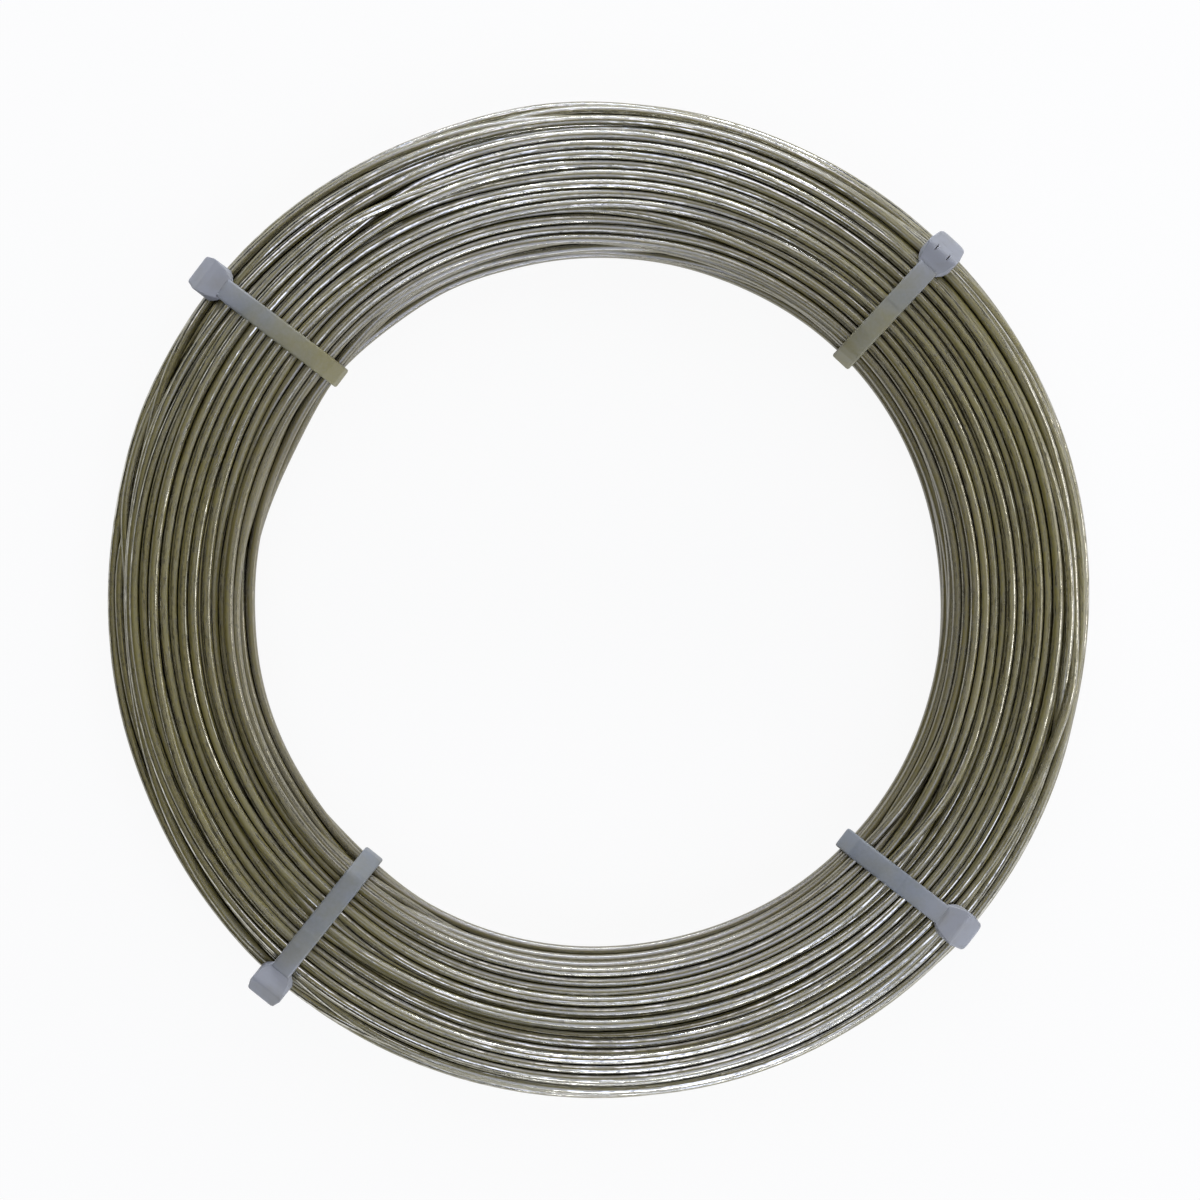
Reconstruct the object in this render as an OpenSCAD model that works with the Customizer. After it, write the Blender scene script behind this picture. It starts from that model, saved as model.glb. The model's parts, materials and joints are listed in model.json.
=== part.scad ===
// Coil of baling wire, lying flat: many turns of one steel wire, bound by four nylon cable ties.
// Origin: on the coil's axis, level with the undersides of the ties that the coil rests on.
// +Z runs up the coil's axis. Millimetres.

/* [Coil] */
// Clear diameter inside the turns
bore_d = 152.4; // [120:0.4:200]
// Width of the bundle of turns, from its bore to its outside
band_w = 33.2; // [26:0.2:46]
// Height of the bundle of turns
coil_h = 20.6; // [14:0.2:30]
// Radius of the bundle's rounded shoulders
shoulder_r = 8.2; // [5:0.1:12]

/* [Wire] */
// Diameter of the wire
wire_d = 2.2; // [1.6:0.02:3.2]

/* [Cable ties] */
// Places of the ties round the coil, in degrees from +X
tie_angles = [45, 139, 229, 317]; // [0:1:360]
// Lean of each head over the outer shoulder, in degrees from level
head_leans = [34, 56, 50, 32]; // [20:1:70]
// How far each head is pushed out along its own underside
head_slides = [0, 3.2, 3.6, 0.8]; // [0:0.1:4]
// Width of a strap
strap_w = 4.8; // [3.6:0.1:7.6]
// Thickness of a strap
strap_t = 1.25; // [0.9:0.05:1.8]
// Gap between a strap and the turns inside it
strap_gap = 0.2; // [0.1:0.05:0.4]
// Length of a head, along its strap
head_l = 8.2; // [6:0.1:11]
// Wall of a head on each side of its strap
head_wall = 1.6; // [1:0.1:2.4]
// Height of a head above the turns
head_h = 5.0; // [4:0.1:7]
// Radius of a head's corners
head_corner_r = 1.2; // [0.6:0.1:2]
// How far a cut tail stands out of its head
tail_stub = 0.5; // [0.2:0.1:2]
// Play of a tail across its slot
slot_play = 0.3; // [0.1:0.05:0.5]
// Room for the pawl between a tail and its slot's wall
pawl_room = 0.9; // [0.5:0.1:1.4]
// Height of a pawl
pawl_h = 1.4; // [0.8:0.1:2]

/* [Hidden] */
$fn = 96;

// The tightest pitch of the turns that show, as a share of the wire's diameter
lay = 0.985;
// Overlap that fuses one shape of a piece into the next
fuse = 0.2;
// Flat that is always left between two shoulders
least_flat = 1;

// The bundle's section
shoulder = min(shoulder_r, (coil_h - least_flat) / 2, (band_w - least_flat) / 2);
flat_w = band_w - 2 * shoulder;
flat_h = coil_h - 2 * shoulder;
mid_r = bore_d / 2 + band_w / 2;
mid_z = strap_t + strap_gap + coil_h / 2;

// The closed path that the centres of the outermost wires follow round the section
path_r = shoulder - wire_d / 2;
path_corner = path_r * PI / 2;
path_len = 2 * (flat_w + flat_h) + 4 * path_corner;
wires_round = ceil(path_len / (lay * wire_d));

// A tie's own sizes
head_w = strap_w + 2 * head_wall;
slot_w = strap_w + 2 * slot_play;
slot_l = strap_t + pawl_room;
slot_floor = strap_t + fuse;

// Straight length of side k of the section: 0 is outside, 1 top, 2 bore, 3 bottom
function side_len(k) = k % 2 == 0 ? flat_h : flat_w;

// Point at distance s up side k and on round the corner after it, with that side turned to face +X
function side_point(k, s) =
    let (across = side_len(k + 1) / 2, turn = (s - side_len(k)) / path_corner * 90)
    turn <= 0
        ? [across + path_r, s - side_len(k) / 2]
        : [across + path_r * cos(turn), side_len(k) / 2 + path_r * sin(turn)];

// A point turned by a quarter of a turn k times
function quarter_turned(p, k) = k == 0 ? p : quarter_turned([-p[1], p[0]], k - 1);

// Point at distance s along the whole path, which starts at the foot of side k
function path_point(s, k = 0) =
    let (run = side_len(k) + path_corner)
    s < run ? quarter_turned(side_point(k, s), k) : path_point(s - run, k + 1);

// Rounded rectangle about the origin, made of squares and circles so that its arcs are true
module rounded_box(size, r) {
    square([size[0] - 2 * r, size[1]], center = true);
    square([size[0], size[1] - 2 * r], center = true);
    for (x = [-1, 1], y = [-1, 1])
        translate([x * (size[0] / 2 - r), y * (size[1] / 2 - r)]) circle(r = r);
}

// Section of the bundle: a wire at each step of the path, and the packed turns inside them
module bundle_section() {
    centres = [for (i = [0 : wires_round - 1]) path_point(i * path_len / wires_round)];
    polygon(centres);
    for (centre = centres)
        translate(centre) circle(d = wire_d);
}

// The turns of wire, as one turned solid
module wire_coil() {
    color("darkkhaki")
        rotate_extrude()
            translate([mid_r, mid_z]) bundle_section();
}

// Strap round the section, in the X-Z plane with the section's centre at the origin
module strap_loop() {
    inner = [band_w + 2 * strap_gap, coil_h + 2 * strap_gap];
    inner_r = shoulder + strap_gap;
    outer = [inner[0] + 2 * strap_t, inner[1] + 2 * strap_t];
    rotate([90, 0, 0])
        linear_extrude(strap_w, center = true)
            difference() {
                rounded_box(outer, inner_r + strap_t);
                rounded_box(inner, inner_r);
            }
}

// Head with its slot, standing on z = 0 with its strap leaving towards -X
module head_block() {
    difference() {
        linear_extrude(head_h) rounded_box([head_l, head_w], head_corner_r);
        translate([-slot_l / 2, -slot_w / 2, slot_floor]) cube([slot_l, slot_w, head_h]);
    }
}

// Cut end of the strap in the head's slot, and the pawl that holds it
module locked_tail() {
    tail_x = slot_l / 2 - strap_t;
    translate([tail_x, -strap_w / 2, slot_floor - fuse])
        cube([strap_t, strap_w, head_h + tail_stub - slot_floor + fuse]);
    translate([-slot_l / 2 - fuse, -strap_w / 2, head_h - 2 * pawl_h])
        cube([pawl_room + 2 * fuse, strap_w, pawl_h]);
}

// One cable tie, closed round the bundle, with its head leaning over the outer shoulder
module cable_tie(angle, lean, slide) {
    color("gainsboro")
        rotate([0, 0, angle]) translate([mid_r, 0, mid_z]) {
            strap_loop();
            translate([flat_w / 2, 0, flat_h / 2])
                rotate([0, lean, 0])
                    translate([slide, 0, shoulder + strap_gap]) {
                        head_block();
                        locked_tail();
                    }
        }
}

wire_coil();
cable_tie(tie_angles[0], head_leans[0], head_slides[0]);  // cable_tie_back_right
cable_tie(tie_angles[1], head_leans[1], head_slides[1]);  // cable_tie_back_left
cable_tie(tie_angles[2], head_leans[2], head_slides[2]);  // cable_tie_front_left
cable_tie(tie_angles[3], head_leans[3], head_slides[3]);  // cable_tie_front_right
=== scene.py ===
"""Looks of a coil of baling wire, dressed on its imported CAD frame.

One steel wire is wound turn by turn and settled until its turns lie against each other.
Four nylon cable ties bind it, each drawn tight round the turns that it crosses. Lengths
are in metres, +Z is up and the coil's axis is Z.
"""

from __future__ import annotations

import json
import logging
import math
from dataclasses import dataclass, field
from enum import Enum
from typing import Any, Callable, Sequence

import bmesh
import bpy
import numpy as np
from mathutils import Matrix, Vector

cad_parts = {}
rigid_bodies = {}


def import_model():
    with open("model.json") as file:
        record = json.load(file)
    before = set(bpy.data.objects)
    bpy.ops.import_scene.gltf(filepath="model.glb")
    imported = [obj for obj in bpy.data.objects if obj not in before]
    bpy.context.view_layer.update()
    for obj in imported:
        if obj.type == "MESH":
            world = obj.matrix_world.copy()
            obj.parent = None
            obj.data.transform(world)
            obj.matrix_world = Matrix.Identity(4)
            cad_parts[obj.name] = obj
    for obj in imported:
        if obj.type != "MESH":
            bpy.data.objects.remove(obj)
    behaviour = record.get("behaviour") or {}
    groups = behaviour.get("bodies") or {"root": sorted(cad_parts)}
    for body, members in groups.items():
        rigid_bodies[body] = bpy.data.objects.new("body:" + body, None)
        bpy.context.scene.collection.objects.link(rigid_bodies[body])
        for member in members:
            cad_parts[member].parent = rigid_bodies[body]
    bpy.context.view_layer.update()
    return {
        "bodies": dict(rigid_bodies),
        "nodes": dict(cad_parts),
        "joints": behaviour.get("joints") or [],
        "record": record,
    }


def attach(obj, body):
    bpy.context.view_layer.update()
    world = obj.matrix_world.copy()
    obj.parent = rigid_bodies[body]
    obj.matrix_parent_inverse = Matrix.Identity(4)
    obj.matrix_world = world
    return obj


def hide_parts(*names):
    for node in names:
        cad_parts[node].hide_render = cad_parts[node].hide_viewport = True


LOG = logging.getLogger("baling_wire_coil")
MM = 0.001
TURN = 2 * math.pi
TINY = 1e-12
BODY = "root"
COIL_NODE = "wire_coil"
BAKE_UV = "OFBake"
PLACE_MARK = "wire_place"
# Closeness of each side of the wire to its neighbours, read by the painted contact shade
CONTACT_SHADE_MARK = "wire_contact_shade"
BULK_MARK = "tie_bulk"
STAIN_MARK = "tie_stain"
Floats = np.ndarray
Colour = tuple[float, float, float, float]
Link = Any
Dress = Callable[[bpy.types.Object], None]


class Slot(Enum):
    """Material slots of the record."""

    WIRE = "wire"
    TIES = "ties"


class Along(Enum):
    """Axes that an outline can be drawn out along."""

    Y = "y"
    Z = "z"


class Effect(Enum):
    """Effects that more than one finish uses."""

    BLOTCHES = "blotches"
    GRAIN = "grain"


def rgb(red: float, green: float, blue: float) -> Colour:
    """An opaque colour, from linear values."""
    return (red, green, blue, 1.0)


# ---------------------------------------------------------------- frame


@dataclass(frozen=True)
class CoilFrame:
    """Places of the bundle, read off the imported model.

    Attributes:
        bore_r: Radius of the bore between the ridges.
        outer_r: Radius over the outermost ridges.
        low: Height of the undermost ridges.
        high: Height of the topmost ridges.
    """

    bore_r: float
    outer_r: float
    low: float
    high: float

    @classmethod
    def of_node(cls, obj: bpy.types.Object) -> "CoilFrame":
        """Measures the turned solid.

        Args:
            obj: The CAD node of the bundle.

        Returns:
            The bundle's places.
        """
        count = len(obj.data.vertices)
        flat = np.empty(count * 3, np.float32)
        obj.data.vertices.foreach_get("co", flat)
        points = flat.reshape(count, 3).astype(float)
        radii = np.hypot(points[:, 0], points[:, 1])
        return cls(radii.min(), radii.max(), points[:, 2].min(), points[:, 2].max())

    @property
    def mid_r(self) -> float:
        """Radius of the middle of the band."""
        return (self.bore_r + self.outer_r) / 2

    @property
    def mid_z(self) -> float:
        """Height of the middle of the bundle."""
        return (self.low + self.high) / 2

    @property
    def band_w(self) -> float:
        """Width of the band."""
        return self.outer_r - self.bore_r

    @property
    def height(self) -> float:
        """Height of the bundle."""
        return self.high - self.low


# ---------------------------------------------------------------- winding


@dataclass(frozen=True)
class Wave:
    """A slow wave round the coil.

    Attributes:
        order: Whole number of waves in a round.
        cosine: Size of its cosine.
        sine: Size of its sine.
    """

    order: int
    cosine: float = 0.0
    sine: float = 0.0

    def at(self, theta: Floats) -> Floats:
        """Value of the wave at each angle."""
        return self.cosine * np.cos(self.order * theta) + self.sine * np.sin(self.order * theta)


def eased(t: Floats) -> Floats:
    """Smooth step from 0 to 1 over t from 0 to 1."""
    t = np.clip(t, 0.0, 1.0)
    return t * t * (3 - 2 * t)


def wrapped(angle: Floats) -> Floats:
    """The same angle, from half a turn back to half a turn on."""
    return (angle + math.pi) % TURN - math.pi


def distances(line: Floats) -> Floats:
    """Distance along a line to each of its points."""
    return np.concatenate([[0.0], np.cumsum(np.linalg.norm(np.diff(line, axis=0), axis=1))])


def unit_rows(vectors: Floats) -> Floats:
    """Each row made one unit long."""
    return vectors / np.linalg.norm(vectors, axis=1)[:, None]


def slow_noise(rng: np.random.Generator, count: int, wavelength: float, size: float) -> Floats:
    """Smooth random wander along a line of stations.

    Args:
        rng: Source of random numbers.
        count: Number of stations.
        wavelength: Stations between two random values.
        size: Standard deviation of the random values.

    Returns:
        One value for each station.
    """
    values = rng.normal(0.0, size, int(math.ceil(count / wavelength)) + 3)
    place = np.arange(count) / wavelength
    step = place.astype(int)
    blend = eased(place - step)
    return values[step] * (1 - blend) + values[step + 1] * blend


@dataclass(frozen=True)
class Envelope:
    """The rounded rectangle that the wires' centres keep to, at every angle.

    Attributes:
        half_w: Half its width between two ties.
        half_h: Half its height between two ties.
        corner: Radius of its corners.
        ties: Angles of the ties.
        pinch_w: How much narrower it is on each side at a tie.
        pinch_h: How much lower it is above and below at a tie.
        reach: How far a tie's pinch reaches round the coil, as an angle.
        rumple: How far its skin is pushed in and out at random.
        rumples_across: Number of rumples round its section.
        rumples_along: Number of rumples round the coil.
        rumple_limit: Greatest rumple, as a multiple of their size.
        smoothing: Share of the rumples that a tie presses flat.
        sway: Waves of its middle, in and out.
        swell: Waves of its width.
        outer_trim: Waves that true the settled bundle's outside, outwards.
        inner_trim: Waves that true its bore's edge, outwards.
    """

    half_w: float
    half_h: float
    corner: float
    ties: tuple[float, ...]
    pinch_w: float = 0.25 * MM
    pinch_h: float = 0.35 * MM
    reach: float = 0.20
    rumple: float = 2.0 * MM
    rumples_across: int = 72
    rumples_along: int = 4
    rumple_limit: float = 1.6
    smoothing: float = 0.8
    sway: tuple[Wave, ...] = (
        Wave(0, 0.4 * MM),
        Wave(1, -0.3 * MM, -0.1 * MM),
        Wave(2, -0.85 * MM, -0.3 * MM),
        Wave(3, 0.05 * MM),
        Wave(4, -0.55 * MM, 0.5 * MM),
        Wave(5, -0.4 * MM, -0.15 * MM),
    )
    swell: tuple[Wave, ...] = (
        Wave(0, 0.2 * MM),
        Wave(1, 0.5 * MM),
        Wave(2, 0.05 * MM, -0.15 * MM),
        Wave(3, 0.15 * MM, 0.6 * MM),
        Wave(4, -0.3 * MM, -0.3 * MM),
        Wave(5, 0.9 * MM, 0.8 * MM),
        Wave(6, -0.6 * MM, 0.1 * MM),
    )
    outer_trim: tuple[Wave, ...] = (
        Wave(0, -0.40 * MM),
        Wave(1, 0.62 * MM, -0.06 * MM),
        Wave(2, -0.40 * MM, -0.23 * MM),
        Wave(3, 0.15 * MM, 0.14 * MM),
        Wave(4, -0.07 * MM, -0.01 * MM),
        Wave(5, 0.08 * MM, 0.14 * MM),
        Wave(6, -0.19 * MM, 0.02 * MM),
    )
    inner_trim: tuple[Wave, ...] = (
        Wave(0, -0.10 * MM),
        Wave(1, -0.02 * MM, -0.07 * MM),
        Wave(2, 0.22 * MM, 0.34 * MM),
        Wave(3, 0.01 * MM, -0.15 * MM),
        Wave(4, -0.24 * MM, -0.06 * MM),
        Wave(5, -0.09 * MM, -0.11 * MM),
        Wave(6, -0.03 * MM, 0.10 * MM),
    )

    def pinch(self, theta: Floats) -> Floats:
        """How close each angle is to a tie.

        Args:
            theta: Angles round the coil.

        Returns:
            Closeness from 0 to 1.
        """
        near = np.zeros_like(theta)
        for tie in self.ties:
            near = np.maximum(near, np.exp(-((wrapped(theta - tie) / self.reach) ** 2)))
        return near

    def measure(self, theta: Floats) -> tuple[Floats, Floats, Floats]:
        """Shape of the envelope at each angle.

        Args:
            theta: Angles round the coil.

        Returns:
            Half widths, half heights and the offset of the middle, outwards.
        """
        near = self.pinch(theta)
        wide = self.half_w - self.pinch_w * near + sum(w.at(theta) for w in self.swell) / 2
        tall = self.half_h - self.pinch_h * near
        middle = sum(w.at(theta) for w in self.sway)
        return wide, tall, middle

    def rumples(self, rng: np.random.Generator, theta: Floats, fineness: int) -> Floats:
        """Random unevenness of the envelope's skin.

        Args:
            rng: Source of random numbers.
            theta: Angles round the coil.
            fineness: Number of places round the section that it is worked out at.

        Returns:
            A table of offsets, by place round the section and by angle.
        """
        knots = rng.normal(0.0, self.rumple, (self.rumples_across, self.rumples_along))
        knots = np.clip(knots, -self.rumple_limit * self.rumple, self.rumple_limit * self.rumple)
        shift = rng.uniform(0.0, 1.0, self.rumples_across)
        along = (theta / TURN)[None, :] * self.rumples_along + shift[:, None]
        low = np.floor(along).astype(int)
        blend = eased(along - low)
        row = np.arange(self.rumples_across)[:, None]
        rows = knots[row, low % self.rumples_along] * (1 - blend)
        rows += knots[row, (low + 1) % self.rumples_along] * blend
        across = np.arange(fineness) / fineness * self.rumples_across
        step = across.astype(int)
        part = eased(across - step)[:, None]
        table = rows[step] * (1 - part) + rows[(step + 1) % self.rumples_across] * part
        return table * (1 - self.smoothing * self.pinch(theta))[None, :]


@dataclass(frozen=True)
class Growing:
    """How one disc for each turn is packed into the bundle's section.

    Attributes:
        rounds: Number of rounds.
        spread: Parts of the half width and half height that the discs are strewn over.
        start_d: Share of its diameter that a disc starts with.
        grown_by: Part of the rounds in which it grows.
        give: Share of an overlap that a disc yields in a round.
        shake: Size of the random shake in the first round.
    """

    rounds: int = 500
    spread: tuple[float, float] = (0.85, 0.75)
    start_d: float = 0.5
    grown_by: float = 0.75
    give: float = 0.4
    shake: float = 0.02 * MM


@dataclass(frozen=True)
class Settling:
    """How the turns settle against each other.

    Attributes:
        rounds: Number of rounds.
        relisted: Rounds between two looks for the turns that lie close together.
        close: Distance at which two turns count as close, in diameters.
        hold: How firmly a wire is held to its first place at the start.
        start_d: Share of its diameter that a turn starts with.
        grown_by: Part of the rounds in which it grows.
        straighten: Passes of straightening in each round.
        straighten_by: How far a pass draws each station to the middle of its neighbours.
        part: Passes of parting in each round.
        give: Share of an overlap that each of two turns yields in a pass.
        true_rounds: Rounds in which the turns part again once the bundle is trued.
        true_close: Distance at which two turns count as close then, in diameters.
        true_straighten: Passes of straightening in each of those rounds.
        last_straighten: Passes of straightening at the end.
        last_straighten_by: How far each of those passes goes.
    """

    rounds: int = 300
    relisted: int = 10
    close: float = 1.35
    hold: float = 0.03
    start_d: float = 0.6
    grown_by: float = 0.6
    straighten: int = 24
    straighten_by: float = 0.6
    part: int = 3
    give: float = 0.375
    true_rounds: int = 12
    true_close: float = 1.25
    true_straighten: int = 4
    last_straighten: int = 6
    last_straighten_by: float = 0.5


@dataclass
class Winding:
    """One wire wound into a bundle, as the places of its centre in the bundle's section.

    Attributes:
        turns: Number of turns.
        stations: Stations in a turn.
        wire_d: Diameter of the wire.
        envelope: The space that the centres keep to.
        start_angle: Where on its first turn the wire starts.
        finish_angle: Where on its last turn the wire ends.
        growing: How a place is found for each turn.
        settling: How the turns settle.
        column_w: Width of a column of turns, in diameters.
        step_turn: Part of a turn in which a wire steps over to its next place.
        step_drift: How far round the turn the place of that step drifts.
        step_wave: Turns over which it drifts, and the size of its random values.
        wander: How far a wire strays from its place.
        wander_turn: Part of a turn over which it strays.
        seed: Seed of every random draw.
        skin_places: Places round the section at which the bundle's skin is known.
        touch_fades: Reaches beyond which a touch has faded away.
        block: Stations that are looked through together.
        start_tuck: Stations cut off the wire's start, which ends it under a tie.
        finish_tuck: Stations cut off its other end.
        x: Offset of the wire's centre outwards at each station.
        z: Offset upwards.
    """

    turns: int
    stations: int
    wire_d: float
    envelope: Envelope
    start_angle: float
    finish_angle: float
    growing: Growing = Growing()
    settling: Settling = Settling()
    column_w: float = 1.01
    step_turn: float = 0.40
    step_drift: float = 0.38
    step_wave: tuple[float, float] = (4.0, 2.2)
    wander: float = 0.5 * MM
    wander_turn: float = 0.3
    seed: int = 7
    skin_places: int = 256
    touch_fades: float = 2.5
    block: int = 40
    start_tuck: int = 3
    finish_tuck: int = 2
    x: Floats = field(init=False)
    z: Floats = field(init=False)

    def __post_init__(self) -> None:
        """Works out which stations hold wire, and the envelope at each."""
        total = self.turns * self.stations
        self._station = np.arange(total) % self.stations
        self.theta = TURN * np.arange(self.stations) / self.stations
        wide, tall, middle = self.envelope.measure(self.theta)
        self._wide = wide[self._station]
        self._tall = tall[self._station]
        self._middle = middle[self._station]
        self.first = int(round(self.start_angle / TURN * self.stations))
        self.last = total - self.stations + int(round(self.finish_angle / TURN * self.stations))
        self._live = slice(self.first, self.last)

    def settle(self) -> "Winding":
        """Winds the wire and settles its turns against each other.

        Returns:
            The winding itself.
        """
        way = self.settling
        rng = np.random.default_rng(self.seed)
        self._skin = self.envelope.rumples(rng, self.theta, self.skin_places)
        places = self._ordered(self._grown_places(rng))
        x, z = self._wound(places, rng)
        guide_x, guide_z = x.copy(), z.copy()
        for step in range(way.rounds):
            done = step / way.rounds
            if step % way.relisted == 0:
                near = self._neighbours(x, z, self.wire_d * way.close)
            hold = way.hold * (1 - done) ** 2
            x += hold * (guide_x - x)
            z += hold * (guide_z - z)
            x = self._straightened(x, way.straighten_by, way.straighten)
            z = self._straightened(z, way.straighten_by, way.straighten)
            gap = self.wire_d * (way.start_d + (1 - way.start_d) * min(1.0, done / way.grown_by))
            for _ in range(way.part):
                x, z = self._parted(x, z, near, gap)
                x, z = self._confined(x, z, self._wide, self._tall, self._middle, self._station)
        x, z = self._trued(x, z)
        self.x = self._straightened(x, way.last_straighten_by, way.last_straighten)
        self.z = self._straightened(z, way.last_straighten_by, way.last_straighten)
        self.first += self.start_tuck
        self.last -= self.finish_tuck
        self._live = slice(self.first, self.last)
        return self

    def _trued(self, x: Floats, z: Floats) -> tuple[Floats, Floats]:
        """Draws the settled bundle to its true outlines, and parts its turns again.

        Args:
            x: Offsets outwards.
            z: Offsets upwards.

        Returns:
            The new offsets.
        """
        way = self.settling
        outer = sum(w.at(self.theta) for w in self.envelope.outer_trim)[self._station]
        inner = sum(w.at(self.theta) for w in self.envelope.inner_trim)[self._station]
        share = np.clip((x - self._middle) / (2 * self._wide) + 0.5, 0.0, 1.0)
        x = x + inner + (outer - inner) * share
        z = z / (1 + (outer - inner) / (2 * self._wide))
        near = self._neighbours(x, z, self.wire_d * way.true_close)
        for _ in range(way.true_rounds):
            for _ in range(way.part):
                x, z = self._parted(x, z, near, self.wire_d)
            x = self._straightened(x, way.straighten_by, way.true_straighten)
            z = self._straightened(z, way.straighten_by, way.true_straighten)
        for _ in range(way.part):
            x, z = self._parted(x, z, near, self.wire_d)
        return x, z

    def touching(self, sides: int, spread: float, reach: float) -> Floats:
        """How closely each side of the wire touches a neighbouring turn.

        Args:
            sides: Number of sides, the first outwards and the next ones upwards from it.
            spread: Angle over which a touch fades round the wire.
            reach: Gap over which it fades.

        Returns:
            Closeness from 0 to 1 for each station and side.
        """
        one, two = self._neighbours(self.x, self.z, self.wire_d + self.touch_fades * reach)
        dx, dz = self.x[two] - self.x[one], self.z[two] - self.z[one]
        near = np.exp(-np.maximum(np.hypot(dx, dz) - self.wire_d, 0.0) / reach)
        toward = np.arctan2(dz, dx)
        side = TURN * np.arange(sides) / sides
        touch = np.zeros((self.x.size, sides))
        for place, way in ((one, toward), (two, toward + math.pi)):
            away = wrapped(side[None, :] - way[:, None])
            np.maximum.at(touch, place, near[:, None] * np.exp(-((away / spread) ** 2)))
        return touch

    def _grown_places(self, rng: np.random.Generator) -> Floats:
        """Packs one disc for each turn into the section by growing them together.

        Args:
            rng: Source of random numbers.

        Returns:
            The discs' centres.
        """
        env, way = self.envelope, self.growing
        spread = np.array([env.half_w * way.spread[0], env.half_h * way.spread[1]])
        at = rng.uniform(-spread, spread, (self.turns, 2))
        apart = np.eye(self.turns)
        here = np.zeros(self.turns, int)
        for step in range(way.rounds):
            grown = min(1.0, step / (way.grown_by * way.rounds))
            size = self.wire_d * (way.start_d + (1 - way.start_d) * grown)
            gap = at[:, None, :] - at[None, :, :]
            away = np.hypot(gap[..., 0], gap[..., 1]) + apart
            push = np.maximum(size - away, 0.0) * (1 - apart) * way.give / away
            at = at + (push[..., None] * gap).sum(1)
            at += rng.normal(0.0, way.shake * (1 - step / way.rounds), at.shape)
            at[:, 0], at[:, 1] = self._confined(at[:, 0], at[:, 1], env.half_w, env.half_h, 0.0, here)
        return at

    def _ordered(self, places: Floats) -> Floats:
        """Puts places in the order of winding: columns from the bore outwards, up and down.

        Args:
            places: Centres in the section.

        Returns:
            The same centres in order, with the last one twice.
        """
        column = np.floor((places[:, 0] + self.envelope.half_w) / (self.column_w * self.wire_d))
        order: list[int] = []
        for count, value in enumerate(np.unique(column)):
            members = np.nonzero(column == value)[0]
            members = members[np.argsort(places[members, 1])]
            order.extend(members if count % 2 == 0 else members[::-1])
        ordered = places[order]
        return np.vstack([ordered, ordered[-1:]])

    def _wound(self, places: Floats, rng: np.random.Generator) -> tuple[Floats, Floats]:
        """Leads the wire from place to place, one step over in each turn.

        Args:
            places: Centres in the order of winding.
            rng: Source of random numbers.

        Returns:
            Offsets outwards and upwards at every station.
        """
        total = self.turns * self.stations
        turn = np.arange(total) // self.stations
        part = self._station / self.stations
        when = 0.5 + self.step_drift * np.sin(slow_noise(rng, self.turns, *self.step_wave))
        over = eased((part - when[turn]) / self.step_turn + 0.5)
        x = places[turn, 0] * (1 - over) + places[turn + 1, 0] * over
        z = places[turn, 1] * (1 - over) + places[turn + 1, 1] * over
        length = self.stations * self.wander_turn
        x += slow_noise(rng, total, length, self.wander) + self._middle
        z += slow_noise(rng, total, length, self.wander)
        return x, z

    def _straightened(self, line: Floats, share: float, passes: int) -> Floats:
        """Draws every station of the wire towards the middle of its neighbours.

        Args:
            line: One offset at every station.
            share: How much of the way it goes in a pass.
            passes: Number of passes.

        Returns:
            The straighter line.
        """
        live = line[self._live]
        for _ in range(passes):
            bend = np.zeros_like(live)
            bend[1:-1] = 0.5 * (live[:-2] + live[2:]) - live[1:-1]
            live = live + share * bend
        out = line.copy()
        out[self._live] = live
        return out

    def _neighbours(self, x: Floats, z: Floats, reach: float) -> tuple[Floats, Floats]:
        """Finds the pairs of turns that lie close together at each station.

        Args:
            x: Offsets outwards.
            z: Offsets upwards.
            reach: Greatest distance of a pair.

        Returns:
            The two members of each pair, as places along the wire.
        """
        # Stations that hold no wire are set metres apart, so that nothing lies close to them
        far = 1.0 + np.arange(x.size)
        far[self._live] = 0.0
        across = (x + far).reshape(self.turns, self.stations).T
        up = z.reshape(self.turns, self.stations).T
        upper = np.triu(np.ones((self.turns, self.turns), bool), 1)[None]
        ones, twos = [], []
        for low in range(0, self.stations, self.block):
            a, b = across[low : low + self.block], up[low : low + self.block]
            away = (a[:, :, None] - a[:, None, :]) ** 2 + (b[:, :, None] - b[:, None, :]) ** 2
            station, one, two = np.nonzero(upper & (away < reach * reach))
            ones.append(one * self.stations + station + low)
            twos.append(two * self.stations + station + low)
        return np.concatenate(ones), np.concatenate(twos)

    def _parted(
        self, x: Floats, z: Floats, near: tuple[Floats, Floats], gap: float
    ) -> tuple[Floats, Floats]:
        """Pushes apart the turns that share space.

        Args:
            x: Offsets outwards.
            z: Offsets upwards.
            near: The pairs that may touch.
            gap: Distance that two centres keep.

        Returns:
            The new offsets.
        """
        one, two = near
        dx, dz = x[one] - x[two], z[one] - z[two]
        away = np.hypot(dx, dz) + TINY
        push = np.where(away < gap, self.settling.give * (gap - away) / away, 0.0)
        count = x.size
        x = x + np.bincount(one, push * dx, count) - np.bincount(two, push * dx, count)
        z = z + np.bincount(one, push * dz, count) - np.bincount(two, push * dz, count)
        return x, z

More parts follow.
